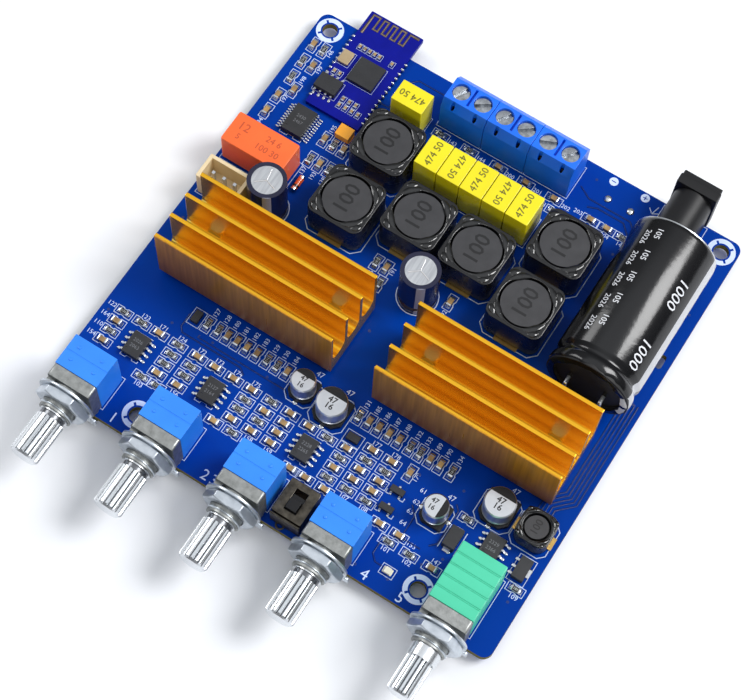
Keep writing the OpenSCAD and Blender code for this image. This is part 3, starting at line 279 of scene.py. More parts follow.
# Each lamp: place in mm, width in mm, power in watts
LAMPS = {
    "lamp_right": ((385, 255, 535), 320, 4.0),
    "lamp_left": ((-480, 60, 380), 240, 0.9),
    "lamp_front": ((160, -560, 420), 240, 0.6),
}
for name, (place, width, power) in LAMPS.items():
    bpy.ops.object.light_add(type="AREA", location=on_board(*place))
    lamp = bpy.context.active_object
    lamp.name = name
    lamp.data.energy, lamp.data.size = power, width * MM
    lamp.rotation_euler = (on_board(0, 0) - lamp.location).to_track_quat("-Z", "Y").to_euler()

# The surround's stops: height, from the horizon (0) to straight above (1), and brightness
SKY_STOPS = ((0.0, 0.2), (0.7, 0.75), (0.93, 1.9))
SKY_TINT = (0.93, 0.96, 1.0)
surround = bpy.data.worlds.new("surround")
surround.use_nodes = True
sky = surround.node_tree
heights = sky.nodes.new("ShaderNodeSeparateXYZ")
shades = sky.nodes.new("ShaderNodeValToRGB")
shades.color_ramp.elements.new(0.5)
for stop, (place, shade) in zip(shades.color_ramp.elements, SKY_STOPS):
    stop.position, stop.color = place, (*(tint * shade for tint in SKY_TINT), 1)
sky.links.new(sky.nodes.new("ShaderNodeTexCoord").outputs["Generated"], heights.inputs[0])
sky.links.new(heights.outputs["Z"], shades.inputs[0])
sky.links.new(shades.outputs[0], sky.nodes["Background"].inputs["Color"])
sky.nodes["Background"].inputs["Strength"].default_value = 0.5
bpy.context.scene.world = surround
print("lamps:", ", ".join(LAMPS))


# %% [markdown]
# New pieces are made as by hand: add a primitive, shape it in edit mode, finish it with modifiers. An
# operator acts on whatever is selected, so these few functions select things first.

# %% Tools: selecting and shaping
def pick(*pieces):
    """Selects these objects and nothing else; the first one is active."""
    bpy.ops.object.select_all(action="DESELECT")
    for piece in pieces:
        piece.select_set(True)
    bpy.context.view_layer.objects.active = pieces[0]


def settle(piece):
    """Puts a piece's place, turn and size into its mesh."""
    pick(piece)
    bpy.ops.object.transform_apply(location=True, rotation=True, scale=True)
    return piece


def start(kind, place, size, turn=0.0, **settings):
    """Adds a primitive at a place, with a size in millimetres, turned about the upright axis in degrees."""
    bpy.ops.object.select_all(action="DESELECT")
    getattr(bpy.ops.mesh, f"primitive_{kind}_add")(location=place, **settings)
    piece = bpy.context.active_object
    piece.scale = [side * MM for side in size]
    piece.rotation_euler.z = math.radians(turn)
    return settle(piece)


def modify(piece, kind, **settings):
    """Adds a modifier and applies it."""
    pick(piece)
    modifier = piece.modifiers.new(kind, kind)
    for name, value in settings.items():
        setattr(modifier, name, value)
    bpy.ops.object.modifier_apply(modifier=modifier.name)
    return piece


def smooth(piece):
    """Shades a piece smooth all over."""
    pick(piece)
    bpy.ops.object.shade_smooth()
    return piece


def round_edges(piece, width, segments=2, angle=35):
    """Rounds the sharp outward edges by a width in millimetres, and shades the piece smooth between them."""
    mesh = bmesh.new()
    mesh.from_mesh(piece.data)
    weight = mesh.edges.layers.float.new("bevel_weight_edge")
    for edge in mesh.edges:
        sharp = edge.is_manifold and edge.is_convex and edge.calc_face_angle() > math.radians(angle)
        edge[weight] = float(sharp)
    mesh.to_mesh(piece.data)
    mesh.free()
    modify(piece, "BEVEL", width=width * MM, segments=segments, limit_method="WEIGHT",
           use_clamp_overlap=False)
    pick(piece)
    bpy.ops.object.shade_smooth_by_angle(angle=math.radians(40))
    return modify(piece, "WEIGHTED_NORMAL", keep_sharp=True)


def choose(piece, what, test):
    """Opens a piece in edit mode with those vertices, edges or faces selected whose middle passes a test."""
    pick(piece)
    bpy.ops.object.mode_set(mode="EDIT")
    bpy.ops.mesh.select_mode(type=what)
    bpy.ops.mesh.select_all(action="DESELECT")
    mesh = bmesh.from_edit_mesh(piece.data)
    parts = {"VERT": mesh.verts, "EDGE": mesh.edges, "FACE": mesh.faces}[what]
    for part in parts:
        corners = [part] if what == "VERT" else part.verts
        part.select_set(test(sum((v.co for v in corners), Vector()) / len(corners)))
    mesh.select_flush_mode()
    bmesh.update_edit_mesh(piece.data)


def close_edit():
    """Leaves edit mode."""
    bpy.ops.object.mode_set(mode="OBJECT")


print("pieces can be shaped now")


# %% [markdown]
# What repeats is modelled once and copied. The places of the copies are read from the solids themselves: a
# node of many small parts is split into its separate solids, so no place has to be typed twice.

# %% Tools: cutting, copying and finding
def cut(piece, tool):
    """Takes one piece away from another."""
    modify(piece, "BOOLEAN", operation="DIFFERENCE", object=tool, solver="EXACT")
    bpy.data.objects.remove(tool)
    return piece


def join(name, pieces):
    """Makes one piece of several."""
    pick(*pieces)
    if len(pieces) > 1:
        bpy.ops.object.join()
    pieces[0].name = name
    return pieces[0]


def copies(name, model, places):
    """A model at x, y, turn places on the board, each copy with its own mesh, joined into one piece."""
    made = []
    for x, y, turn in places:
        pick(model)
        bpy.ops.object.duplicate()
        copy = bpy.context.active_object
        copy.location = on_board(x, y)
        copy.rotation_euler.z = math.radians(turn)
        made.append(copy)
    bpy.data.objects.remove(model)
    return settle(join(name, made))


def islands(node):
    """The separate solids in a node, each as its middle and size in millimetres on the board."""
    mesh = bmesh.new()
    mesh.from_mesh(frame["nodes"][node].data)
    bmesh.ops.remove_doubles(mesh, verts=mesh.verts, dist=SAME_PLACE)
    left, found = set(mesh.verts), []
    while left:
        group, edge = [], [left.pop()]
        while edge:
            vertex = edge.pop()
            group.append(from_board(vertex.co))
            near = {e.other_vert(vertex) for e in vertex.link_edges} & left
            left -= near
            edge.extend(near)
        low, high = (Vector([end(p[i] for p in group) for i in range(3)]) for end in (min, max))
        found.append(((low + high) / 2, high - low))
    mesh.free()
    return sorted(found, key=lambda solid: (round(solid[0].y, 2), round(solid[0].x, 2)))


print("solids in chip_resistors:", len(islands("chip_resistors")))

# %% [markdown]
# One finish for each material of the record. Most drift between two close shades. Metals differ from
# plastics by the Metallic value, and moulded black parts reflect less than the default.

# %% Finishes: plain materials
SOOT = (24, 25, 28)
STEEL = (206, 212, 216)
STEEL_SHADE = (172, 180, 188)
coats = {
    "gold_anodised": finish("gold_anodised", (250, 188, 44), (240, 174, 30), 0.3, 0.85, patch=400, grain=2600,
                            depth=0.004, stretch=(0.02, 1, 1)),
    "zinc_steel": finish("zinc_steel", STEEL, STEEL_SHADE, 0.3, 1.0),
    "chip_black": finish("chip_black", (40, 41, 45), SOOT, 0.52, grain=9000, depth=0.02),
    "navy_sleeve": finish("navy_sleeve", (24, 26, 58), (16, 17, 42), 0.24),
    "can": finish("drawn_can", (222, 224, 227), (200, 203, 208), 0.32, 1.0),
    "black_plastic": finish("black_plastic", (20, 20, 23), (13, 13, 15), 0.42, Specular_IOR_Level=0.35),
    "ferrite": finish("ferrite", (56, 56, 59), (43, 43, 46), 0.5, grain=7000, depth=0.03),
    "brass": finish("plated_brass", (214, 180, 110), (188, 150, 84), 0.34, 1.0),
    "film_yellow": finish("film_yellow", (236, 226, 26), (226, 210, 16), 0.26, patch=120),
    "relay_orange": finish("relay_orange", (250, 112, 48), (240, 98, 38), 0.36, patch=120),
    "terminal_blue": finish("terminal_blue", (8, 112, 244), (6, 100, 228), 0.38, patch=150),
    "header_cream": finish("header_cream", (232, 214, 176), (222, 200, 158), 0.45),
    "radio_indigo": finish("radio_indigo", (14, 22, 142), (10, 17, 126), 0.3, Specular_IOR_Level=0.1),
    "tinned": finish("tinned", (222, 224, 226), (190, 194, 200), 0.3, 1.0),
    "resistor": finish("resistor", (34, 36, 42), (22, 24, 30), 0.3),
    "ceramic": finish("fired_ceramic", (190, 150, 104), (168, 126, 82), 0.45),
    "tantalum": finish("tantalum", (250, 176, 48), (240, 158, 34), 0.4),
    "led_white": finish("led_white", (236, 232, 214), (224, 218, 192), 0.3),
    "tone_blue": finish("tone_blue", (44, 140, 248), (34, 128, 238), 0.4, patch=150),
    "volume_green": finish("volume_green", (76, 206, 166), (66, 192, 152), 0.4, patch=150),
    "shaft_silver": finish("shaft_silver", (224, 227, 230), (200, 204, 210), 0.28, 1.0),
    "switch_steel": finish("switch_steel", (104, 98, 88), (42, 39, 34), 0.36, 0.9, patch=900, spread=0.24),
    "switch_brown": finish("switch_brown", (64, 46, 32), (52, 36, 24), 0.6),
}
print(len(coats), "plain finishes")

# %% [markdown]
# The heatsinks are gold anodised aluminium. Between the fins light is thrown to and fro, and this is painted:
# the fins' faces get a painted glow that is paler at their feet. The front face looks on the dark side of the
# room: it gets painted shade, a darker, less metallic gold that darkens downward, with faint streaks from the
# die. Both faces are told apart by where a point lies, so one finish does for all.

# %% Finishes: gold of the heatsinks
FRONT_SKIN = 0.3
gold = coats["gold_anodised"]
fins_low, fins_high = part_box("heatsink_left")
_, y, z = gold.axes()
rise = (z - fins_low.z) / (fins_high.z - fins_low.z)
on_front = y < fins_low.y + FRONT_SKIN * MM
upright = (abs(gold.facing(1)) > 0.5) * (1 - on_front)
streaks = gold.noise(1500, 3, (1, 1, 0.04)) * on_front
gold_drift = gold.mix(gold.noise(400, 3, (0.02, 1, 1)), srgb(252, 194, 52), srgb(242, 178, 34))
# Painted light: the fins' faces are paler and yellower towards their feet
painted_fin_glow = gold.mix(upright * (1.25 - rise * 1.3), srgb(226, 158, 28), srgb(255, 222, 104))
# Painted shade: the front face is a darker gold, darkest at the bottom, and less metallic
front_painted_shade = gold.mix(rise, srgb(146, 88, 2), srgb(212, 144, 8))
front_painted_shade = gold.mix(streaks * 1.2 - 0.4, front_painted_shade, srgb(120, 74, 4))
gold.set("Base Color", gold.mix(on_front, gold.mix(upright, gold_drift, painted_fin_glow), front_painted_shade))
gold.set("Metallic", 0.85 - on_front * 0.6)
gold.set("Roughness", streaks * 0.2 + 0.22)
print("fins rise", round((fins_high.z - fins_low.z) / MM, 1), "mm")

# %% [markdown]
# The board is blue solder mask on both faces and bare laminate on its cut edges. The way a surface faces
# tells them apart. The diode is orange glass with a dark band near one end and plated caps, told by the
# place along it.

# %% Finishes: board and diode
mask = finish("solder_mask", (0, 56, 154), (0, 48, 138), 0.3, patch=60, depth=0.004, Specular_IOR_Level=0.05)
flat = (abs(mask.facing(2)) > 0.5)
mask_blue = mask.mix(mask.noise(60), srgb(0, 58, 158), srgb(0, 50, 142))
mask.set("Base Color", mask.mix(flat, srgb(112, 104, 62), mask_blue))
mask.set("Roughness", 0.75 - flat * 0.47)
coats["board"] = mask

glass_low, glass_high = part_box("glass_diode")
glass = finish("orange_glass", (226, 96, 40), (206, 80, 30), 0.14, Coat_Weight=0.5)
along = (glass.axes()[1] - glass_low.y) / (glass_high.y - glass_low.y)
cap = abs(along - 0.5) > 0.36
band = (along < 0.36) * (along > 0.2)
banded = glass.mix(band, srgb(222, 90, 38), srgb(30, 22, 20))
glass.set("Base Color", glass.mix(cap, banded, srgb(214, 214, 210)))
glass.set("Metallic", cap)
coats["orange_glass"] = glass
print("the diode is", round((glass_high.y - glass_low.y) / MM, 1), "mm long")

# %% [markdown]
# A plastic sleeve is shrunk over each electrolytic capacitor. Its stripe marks the negative lead. Stripes
# could be separate pieces, but print has no thickness to show, so the finish draws them: an angle about
# the can's axis for the lying one, with minus bars in the stripe, and a flat cut through the upright ones.

# %% Finishes: capacitor sleeves
STRIPE_HALF = math.radians(25)
BAR_HALF, BAR_L, BAR_STEP = 0.5, 2.6, 6
sleeve_low, sleeve_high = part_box("bulk_capacitor_sleeve")
sleeve_middle = (sleeve_low + sleeve_high) / 2
film = finish("black_sleeve", (14, 14, 17), (9, 9, 11), 0.17, patch=90, grain=900, depth=0.02)
x, y, z = film.axes()
aside = abs(z - sleeve_middle.z)
stripe = (x - sleeve_middle.x) * math.tan(STRIPE_HALF) > aside
bar = (aside < BAR_HALF * MM) * (y % (BAR_STEP * MM) < BAR_L * MM)
sleeve_black = film.mix(film.noise(90), srgb(14, 14, 17), srgb(9, 9, 11))
film.set("Base Color", film.mix(stripe * (1 - bar), sleeve_black, srgb(186, 188, 193)))
coats["black_sleeve"] = film

# The upright capacitors' stripes are turned towards the front right
STRIPE_TURN = math.radians(-58)
STRIPE_TO = Vector((math.cos(STRIPE_TURN), math.sin(STRIPE_TURN)))
STRIPE_FROM = 0.975
navy = coats["navy_sleeve"]
x, y, _ = navy.axes()
navy_low, navy_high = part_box("filter_capacitor_sleeves")
filter_r = (navy_high.y - navy_low.y) / 2
pale = 0
for at, size in islands("filter_capacitor_cans"):
    middle = on_board(at.x, at.y)
    near = abs(x - middle.x) < filter_r * 1.1
    reach = (x - middle.x) * STRIPE_TO.x + (y - middle.y) * STRIPE_TO.y
    pale = near * (reach > STRIPE_FROM * filter_r) + pale
navy_drift = navy.mix(navy.noise(200), srgb(24, 26, 58), srgb(16, 17, 42))
navy.set("Base Color", navy.mix(pale, navy_drift, srgb(158, 164, 186)))

# The lying can is aluminium, closed with black rubber where its leads come out
BUNG_DEPTH = 1.6
rubber = finish("can_with_rubber", (206, 209, 212), (186, 190, 195), 0.35, 1.0)
y = rubber.axes()[1]
on_rubber = (y < sleeve_low.y + BUNG_DEPTH * MM) * (y > sleeve_low.y)
rubber.set("Base Color", rubber.mix(on_rubber, srgb(204, 207, 210), srgb(20, 20, 22)))
rubber.set("Metallic", 1 - on_rubber)
rubber.set("Roughness", on_rubber * 0.25 + 0.35)
print("sleeves of", round((sleeve_high.x - sleeve_low.x) / MM, 1), "and", round(filter_r * 2 / MM, 1), "mm")

# %% [markdown]
# Some nodes look unlike the rest of their material: brackets are duller than nuts, and screws are worn.
# Each shaft gets painted shade in its flutes and its neck, a darker grey there. Those points lie nearer to
# the shaft's axis than the crests do, so each shaft has its own finish that measures from its own axis.

# %% Finishes: single nodes
TONE_CREST, VOLUME_CREST = 2.77, 2.37
TERMINAL_WAYS = range(1, 7)
own_coats = {
    "bulk_capacitor_can": rubber,
    "control_brackets": finish("dull_zinc", (176, 178, 176), (126, 128, 126), 0.44, 0.9, patch=800,
                               grain=3000, depth=0.03, spread=0.25),
    "inductor_shields": finish("shield_black", (21, 21, 24), (13, 13, 15), 0.28, grain=5000, depth=0.03),
    "radio_crystal": finish("crystal_can", (206, 186, 152), (184, 160, 122), 0.42, 0.7),
    "filter_capacitor_cans": finish("brushed_can", (228, 230, 232), (168, 171, 177), 0.36, 0.9, patch=1500,
                                    grain=3500, depth=0.02, stretch=(1, 0.08, 1)),
}
own_coats["control_nuts"] = own_coats["control_washers"] = finish(
    "bright_zinc", (216, 222, 229), (180, 188, 196), 0.34, 0.85, patch=700)
for node in [f"tone_shaft_{i}" for i in range(1, 5)] + ["volume_shaft"]:
    shaft = finish("silver_" + node, (224, 227, 230), (200, 204, 210), 0.26, 1.0)
    low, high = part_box(node)
    axis = (low + high) / 2
    x, _, z = shaft.axes()
    crest = (VOLUME_CREST if node == "volume_shaft" else TONE_CREST) * MM
    inside = (x - axis.x) * (x - axis.x) + (z - axis.z) * (z - axis.z) < crest * crest
    # Painted shade: the flutes and the neck, nearer the axis than the crests, are a darker grey
    painted_flute_shade = inside * (shaft.facing(1) > -0.5)
    shaft.set("Base Color", shaft.mix(painted_flute_shade, srgb(224, 227, 230), srgb(120, 122, 126)))
    own_coats[node] = shaft
screw_steel = finish("terminal_screws", (214, 218, 222), (118, 122, 128), 0.26, 1.0, patch=900)
for way in TERMINAL_WAYS:
    own_coats[f"terminal_screw_{way}"] = screw_steel
slot_of = {part["node"]: part["material_slot"] for part in frame["record"]["subparts"]}
coat_of = {node: own_coats.get(node, coats[slot]) for node, slot in slot_of.items()}
for node, coat in coat_of.items():
    mesh = frame["nodes"][node].data
    mesh.materials.clear()
    mesh.materials.append(coat.material)
print(len(coats) + len(own_coats), "finishes on", len(coat_of), "nodes")

# %% [markdown]
# Moulded, pressed and cut edges catch the light because they are never quite sharp. Each of these nodes
# gets a copy with rounded edges that takes its place. A bevel on every sharp edge would also fill inner
# corners, where other pieces fit, so only edges that point outwards are marked. The terminal blocks first
# get an oval test hole in front of each screw.

# %% Rounded edges
PROBE_IN, PROBE_DEPTH, PROBE_HALF = 0.62, 5.0, (0.42, 0.5)
FLAT_ANGLE = math.radians(0.5)
EDGE_WIDTHS = {
    "heatsink_left": 0.12, "heatsink_right": 0.12, "film_capacitors": 0.2, "signal_relay": 0.35,
    "dc_jack_body": 0.25, "terminal_blocks": 0.1, "input_header_housing": 0.12, "tone_control_bodies": 0.12,
    "volume_control_body": 0.25, "control_brackets": 0.12, "control_nuts": 0.2, "control_washers": 0.06,
    "switch_shell": 0.15, "switch_slider": 0.1, "inductor_shields": 0.3, "control_chips": 0.08,
    "radio_chips": 0.05, "small_semiconductors": 0.08, "radio_crystal": 0.1, "tantalum_capacitor": 0.12,
    "status_led": 0.08, "smd_capacitor_bases": 0.1,
}
EDGE_WIDTHS.update({f"terminal_screw_{way}": 0.08 for way in TERMINAL_WAYS})


def softened(node, width, coat, tool=None):
    """A copy of a CAD node with rounded edges, which takes its place. A tool cuts holes in it first."""
    source = frame["nodes"][node]
    piece = bpy.data.objects.new(node + "_finished", source.data.copy())
    bpy.context.scene.collection.objects.link(piece)
    choose(piece, "VERT", lambda middle: True)
    bpy.ops.mesh.customdata_custom_splitnormals_clear()
    bpy.ops.mesh.remove_doubles(threshold=SAME_PLACE)
    bpy.ops.mesh.dissolve_limited(angle_limit=FLAT_ANGLE)
    close_edit()
    if tool:
        cut(piece, tool)
    round_edges(piece, width)
    return dress(piece, coat, source["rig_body"], [node])


block_low, block_high = (from_board(corner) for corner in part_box("terminal_blocks"))
probes = []
for way in TERMINAL_WAYS:
    middle = from_board(sum(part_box(f"terminal_screw_{way}"), Vector()) / 2)
    place = on_board(middle.x, block_low.y + PROBE_IN, block_high.z - PROBE_DEPTH / 2)
    probes.append(start("cylinder", place, (*PROBE_HALF, PROBE_DEPTH / 2), vertices=20))
hole_tools = {"terminal_blocks": join("probes", probes)}
rounded = [softened(node, width, coat_of[node], hole_tools.get(node)) for node, width in EDGE_WIDTHS.items()]
print(len(rounded), "nodes have rounded edges")

# %% [markdown]
# An extruded channel has a round bottom. The fins' faces and feet are found among the corners of the
# solids. One bar is hollowed by a cylinder and copied to the foot of every fin, which keeps the solids as
# they are.

# %% Heatsinks: round channel bottoms
ROOT_FILLET, ROOT_LIFT, END_INSET = 1.9, 0.02, 0.05
foot_places = []
for node in ("heatsink_left", "heatsink_right"):
    corners = [from_board(v.co) for v in frame["nodes"][node].data.vertices]
    *_, fin_foot, fin_top = sorted({round(c.z, 2) for c in corners})
    faces = sorted({round(c.y, 2) for c in corners if c.z > fin_top - 0.01})
    low, high = (from_board(corner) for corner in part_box(node))
    foot_l = high.x - low.x - 2 * END_INSET
    foot_places += [((low.x + high.x) / 2, y, 0) for y in faces[1:-1:2]]
    foot_places += [((low.x + high.x) / 2, y, 180) for y in faces[2::2]]
half = ROOT_FILLET / 2
foot = start("cube", Vector((0, half, fin_foot + half)) * MM, (foot_l / 2, half, half))
across = ROOT_FILLET + ROOT_LIFT
hollow_at = Vector((0, across, fin_foot + across)) * MM
foot = cut(foot, start("cylinder", hollow_at, (ROOT_FILLET, ROOT_FILLET, foot_l), vertices=64,
                       rotation=(0, math.pi / 2, 0)))
pick(foot)
bpy.ops.object.shade_smooth_by_angle(angle=math.radians(30))
dress(copies("heatsink_channels", foot, foot_places), coats["gold_anodised"])
print(len(foot_places), "fin feet are round")

# %% [markdown]
# Print lies on the board as a thin film. A picture of it would blur from near by, so each line is a curve
# with a flat section, and each number is text. Both become meshes. The numbers are plain ones.

# %% Print: tools
PRINT_HEIGHT = 0.05
PRINT_LIFT = 0.012
TEXT_SIZE = 1.4


def printed(name, paths, width, coat, level=0.0, height=PRINT_HEIGHT, tapered=False):
    """Flat lines along paths of x, y places. A path that ends where it starts is closed."""
    curve = bpy.data.curves.new(name, "CURVE")
    curve.dimensions, curve.bevel_depth = "3D", width / 2 * MM
    curve.bevel_resolution, curve.use_fill_caps = (4 if tapered else 0), True
    for path in paths:
        closed = path[0] == path[-1]
        corners = path[:-1] if closed else path
        spline = curve.splines.new("POLY")
        spline.points.add(len(corners) - 1)
        for i, (point, (x, y)) in enumerate(zip(spline.points, corners)):
            point.co = (*on_board(x, y, level + PRINT_LIFT), 1)
            point.radius = 0.2 + 0.8 * math.sin(math.pi * i / (len(corners) - 1)) if tapered else 1
        spline.use_cyclic_u = closed
    piece = bpy.data.objects.new(name, curve)
    bpy.context.scene.collection.objects.link(piece)
    pick(piece)
    bpy.ops.object.convert(target="MESH")
    choose(piece, "VERT", lambda middle: True)
    bpy.ops.transform.resize(value=(1, 1, height / width),
                             center_override=on_board(0, 0, level + PRINT_LIFT))
    close_edit()
    if tapered:
        bpy.ops.object.shade_smooth()
    return dress(piece, coat)


def number(text, size, place, turn=0.0, weight=0.0):
    """A number lying flat at a place. Its height and the weight added to its strokes are in millimetres."""
    bpy.ops.object.select_all(action="DESELECT")
    bpy.ops.object.text_add(location=place)
    piece = bpy.context.active_object
    piece.data.body, piece.data.size, piece.data.resolution_u = text, size * TEXT_SIZE * MM, 2
    piece.data.align_x = piece.data.align_y = "CENTER"
    piece.data.offset = weight * MM
    bpy.ops.object.convert(target="MESH")
    piece.rotation_euler.z = math.radians(turn)
    return settle(piece)


def rectangle(x, y, w, d, off=0.0):
    """A closed path round a place, with so much cut off its corners."""
    corners = [(w / 2 - off, d / 2), (off - w / 2, d / 2), (-w / 2, d / 2 - off), (-w / 2, off - d / 2),
               (off - w / 2, -d / 2), (w / 2 - off, -d / 2), (w / 2, off - d / 2), (w / 2, d / 2 - off)]
    return placed(corners if off else corners[::2], x, y)


def placed(corners, x, y, turn=0.0, closed=True):
    """A path moved to a place and turned."""
    c, s = math.cos(math.radians(turn)), math.sin(math.radians(turn))
    path = [(x + c * px - s * py, y + s * px + c * py) for px, py in corners]
    return path + path[:1] if closed else path


def ring(x, y, radius, first=0, last=360, steps=24):
    """A path along a circle between two angles in degrees."""
    angles = [math.radians(first + (last - first) * i / steps) for i in range(steps + 1)]
    path = [(x + radius * math.cos(a), y + radius * math.sin(a)) for a in angles]
    return path[:-1] + path[:1] if last - first == 360 else path


white_ink = finish("white_ink", (216, 228, 252), (198, 214, 248), 0.5, grain=9000, depth=0.01)
print("print can be laid now")

# %% [markdown]
# Each chip has a box round it, pinched in the middle of its long sides. The larger pieces have outlines
# that show where they stand. All take their places and sizes from the solids, a little larger. The power
# jack stands over the board's edge, and its outline stops there.

# %% Print: outlines
BOX_L, BOX_W, PINCH = 3.64, 1.8, 0.2
PRINT_EDGE, LINE_W = 49.6, 0.23
SHIELD_MARGIN, BASE_MARGIN, CAN_MARGIN, CHIP_MARGIN, PART_MARGIN = 0.9, 1.1, 0.45, 0.35, 1.1
NOTCH_TOP, NOTCH_FOOT, NOTCH_DEPTH = 0.75, 0.6, 0.45
TALL_PART, LOW_PART, LONG_PART = 2, 0.95 + PRINT_LIFT, 2.8
OUTLINE_MARGINS = {
    "tone_control_bodies": 0.7, "volume_control_body": 0.7, "signal_relay": 0.7, "input_header_housing": 0.6,
    "terminal_blocks": 0.5, "dc_jack_body": 0.8, "status_led": 0.9, "film_capacitors": 0.3,
}
pinched = [(-BOX_L / 2, -BOX_W / 2), (-0.5, -BOX_W / 2), (-0.3, PINCH - BOX_W / 2), (0.3, PINCH - BOX_W / 2),
           (0.5, -BOX_W / 2), (BOX_L / 2, -BOX_W / 2)]
pinched += [(-px, -py) for px, py in pinched]
resistors, capacitors = islands("chip_resistors"), islands("chip_capacitors")
chips = resistors + capacitors
outlines = [placed(pinched, at.x, at.y, 0 if size.x > size.y else 90) for at, size in chips]
for at, size in islands("inductor_shields"):
    outlines.append(rectangle(at.x, at.y, size.x + SHIELD_MARGIN, size.y + SHIELD_MARGIN,
                              1.6 if size.x > 10 else 1.2))
for at, size in islands("smd_capacitor_bases"):
    outlines.append(rectangle(at.x, at.y, size.x + BASE_MARGIN, size.y + BASE_MARGIN, 1.3))
for node, margin in OUTLINE_MARGINS.items():
    for at, size in islands(node):
        if size.x > 1.5:
            path = rectangle(at.x, at.y, size.x + margin, size.y + margin)
            outlines.append([(x, min(y, PRINT_EDGE)) for x, y in path])
for at, size in islands("filter_capacitor_cans"):
    outlines.append(ring(at.x, at.y, size.x / 2 + CAN_MARGIN))
# A notch by the first pin of each large chip, and a plain line at its other end
for at, size in islands("control_chips"):
    half, end = size.x / 2, size.y / 2 + CHIP_MARGIN
    notch = [(-NOTCH_TOP, -end), (-NOTCH_FOOT, NOTCH_DEPTH - end), (NOTCH_FOOT, NOTCH_DEPTH - end),
             (NOTCH_TOP, -end)]
    tab = [(-half, NOTCH_DEPTH - end), (-half, -end)]
    outlines.append(placed(tab + notch + [(-x, y) for x, y in tab[::-1]], at.x, at.y, closed=False))
    outlines.append(placed([(-half, end), (half, end)], at.x, at.y, closed=False))
# Lines beside the tall parts, corners by the flat or long ones, and boxes round the rest
for at, size in islands("small_semiconductors"):
    if size.z > TALL_PART:
        for side in (-1, 1):
            outlines.append(placed([(side * 1.75, -2.6), (side * 1.75, 2.6)], at.x, at.y, closed=False))
    elif size.z < LOW_PART or size.x > LONG_PART:
        for side in (-1, 1):
            corner = [(side * 1.1, -1.2), (side * 1.9, -1.2), (side * 1.9, -0.4)]
            outlines.append(placed(corner, at.x, at.y, closed=False))
    else:
        outlines.append(rectangle(at.x, at.y, size.x + PART_MARGIN, size.y + PART_MARGIN))
# An arrow by the power jack
outlines += [[(31.3, 48.4), (30.75, 46.4)], [(29.7, 47.4), (30.75, 46.4), (31.9, 47.1)]]
printed("board_outlines", outlines, LINE_W, white_ink)
print(len(outlines), "outlines printed")

# %% [markdown]
# The mounting holes have broad rings with four gaps. The two poles of the supply are marked by discs with
# the sign left open. Both are cut from flat cylinders with bars, since a curve could not leave such gaps.

# %% Print: rings and signs
HOLES = [(-46.6, 46.6), (46.6, 46.6), (-31.1, -45.4), (32.2, -45.4)]
RING_R, HOLE_R = 2.95, 1.95


def disc(x, y, radius, height=0.03, level=0.0, vertices=32):
    """A flat disc that stands on a level."""
    place = on_board(x, y, level + height / 2)
    return start("cylinder", place, (radius, radius, height / 2), vertices=vertices)


marks = []
for x, y in HOLES:
    mark = cut(disc(x, y, RING_R), disc(x, y, HOLE_R, 1))
    for turn in (45, 135):
        mark = cut(mark, start("cube", on_board(x, y), (RING_R - 0.35, 0.24, 1), turn))
    marks.append(mark)
for x, y, upright in ((20.75, 48.55, False), (27.95, 48.75, True)):
    mark = disc(x, y, 0.95)
    for turn in (0, 90)[:1 + upright]:
        mark = cut(mark, start("cube", on_board(x, y), (0.5, 0.1, 1), turn))
    marks.append(mark)
dress(join("board_rings", marks), white_ink)
print(len(marks), "rings and signs")

# %% [markdown]
# A large number stands by each control, and small ones stand by the chips. A small number is tried on the
# four sides of its chip and takes the first side where it meets nothing, so none is hidden or printed over
# another.

# %% Print: numbers
EDGE_CLEAR = 48.5
LEGEND_HALF_L, LEGEND_HALF_H = 0.9, 0.48
CONTROL_NUMBERS = ((-34.6, -48.4), (-13.4, -48.4), (-11.4, -48.4), (22.3, -48.4), (30.2, -48.6))
# How far print stays from the pieces of each node
CROWD = {
    "control_chips": 1.5, "small_semiconductors": 1.0, "inductor_shields": 0.6, "smd_capacitor_bases": 0.9,
    "filter_capacitor_cans": 0.6, "film_capacitors": 0.3, "signal_relay": 0.5, "tone_control_bodies": 0.5,
    "volume_control_body": 0.5, "control_brackets": 0.5, "terminal_blocks": 0.4, "dc_jack_body": 0.5,
    "switch_shell": 0.5, "input_header_housing": 0.4, "radio_board": 0.4, "tantalum_capacitor": 0.5,
    "glass_diode": 0.4, "status_led": 0.8, "heatsink_left": -0.7, "heatsink_right": -0.7,
    "bulk_capacitor_sleeve": 0,
}
legends = [number(str(i + 1), 2.2, on_board(x, y, PRINT_LIFT)) for i, (x, y) in enumerate(CONTROL_NUMBERS)]
taken = [(at.x, at.y, BOX_L / 2, BOX_W / 2) if size.x > size.y else (at.x, at.y, BOX_W / 2, BOX_L / 2)
         for at, size in chips] + [(x, y, RING_R, RING_R) for x, y in HOLES]
for node, margin in CROWD.items():
    taken += [(at.x, at.y, size.x / 2 + margin, size.y / 2 + margin) for at, size in islands(node)]
for i, (at, size) in enumerate(chips):
    upright = size.y > size.x
    sides = ((0.15, 2.95), (0.15, -2.95), (1.5, 0), (-1.5, 0)) if upright else (
        (-2.95, 0.3), (2.95, -0.3), (0.3, -1.5), (0, 1.5))
    for dx, dy in sides:
        x, y, half_w, half_h = at.x + dx, at.y + dy, LEGEND_HALF_L, LEGEND_HALF_H
        if upright:
            half_w, half_h = half_h, half_w
        if max(abs(x), abs(y)) < EDGE_CLEAR and all(
                abs(x - tx) > half_w + tw or abs(y - ty) > half_h + th for tx, ty, tw, th in taken):
            legends.append(number(str(101 + i), 0.95, on_board(x, y, PRINT_LIFT), 90 * upright))
            taken.append((x, y, half_w, half_h))
            break
for at, size in islands("smd_capacitor_cans"):
    legends.append(number("47", 1.15, on_board(at.x + 1.0, at.y + size.y / 2 + 2.0, PRINT_LIFT)))
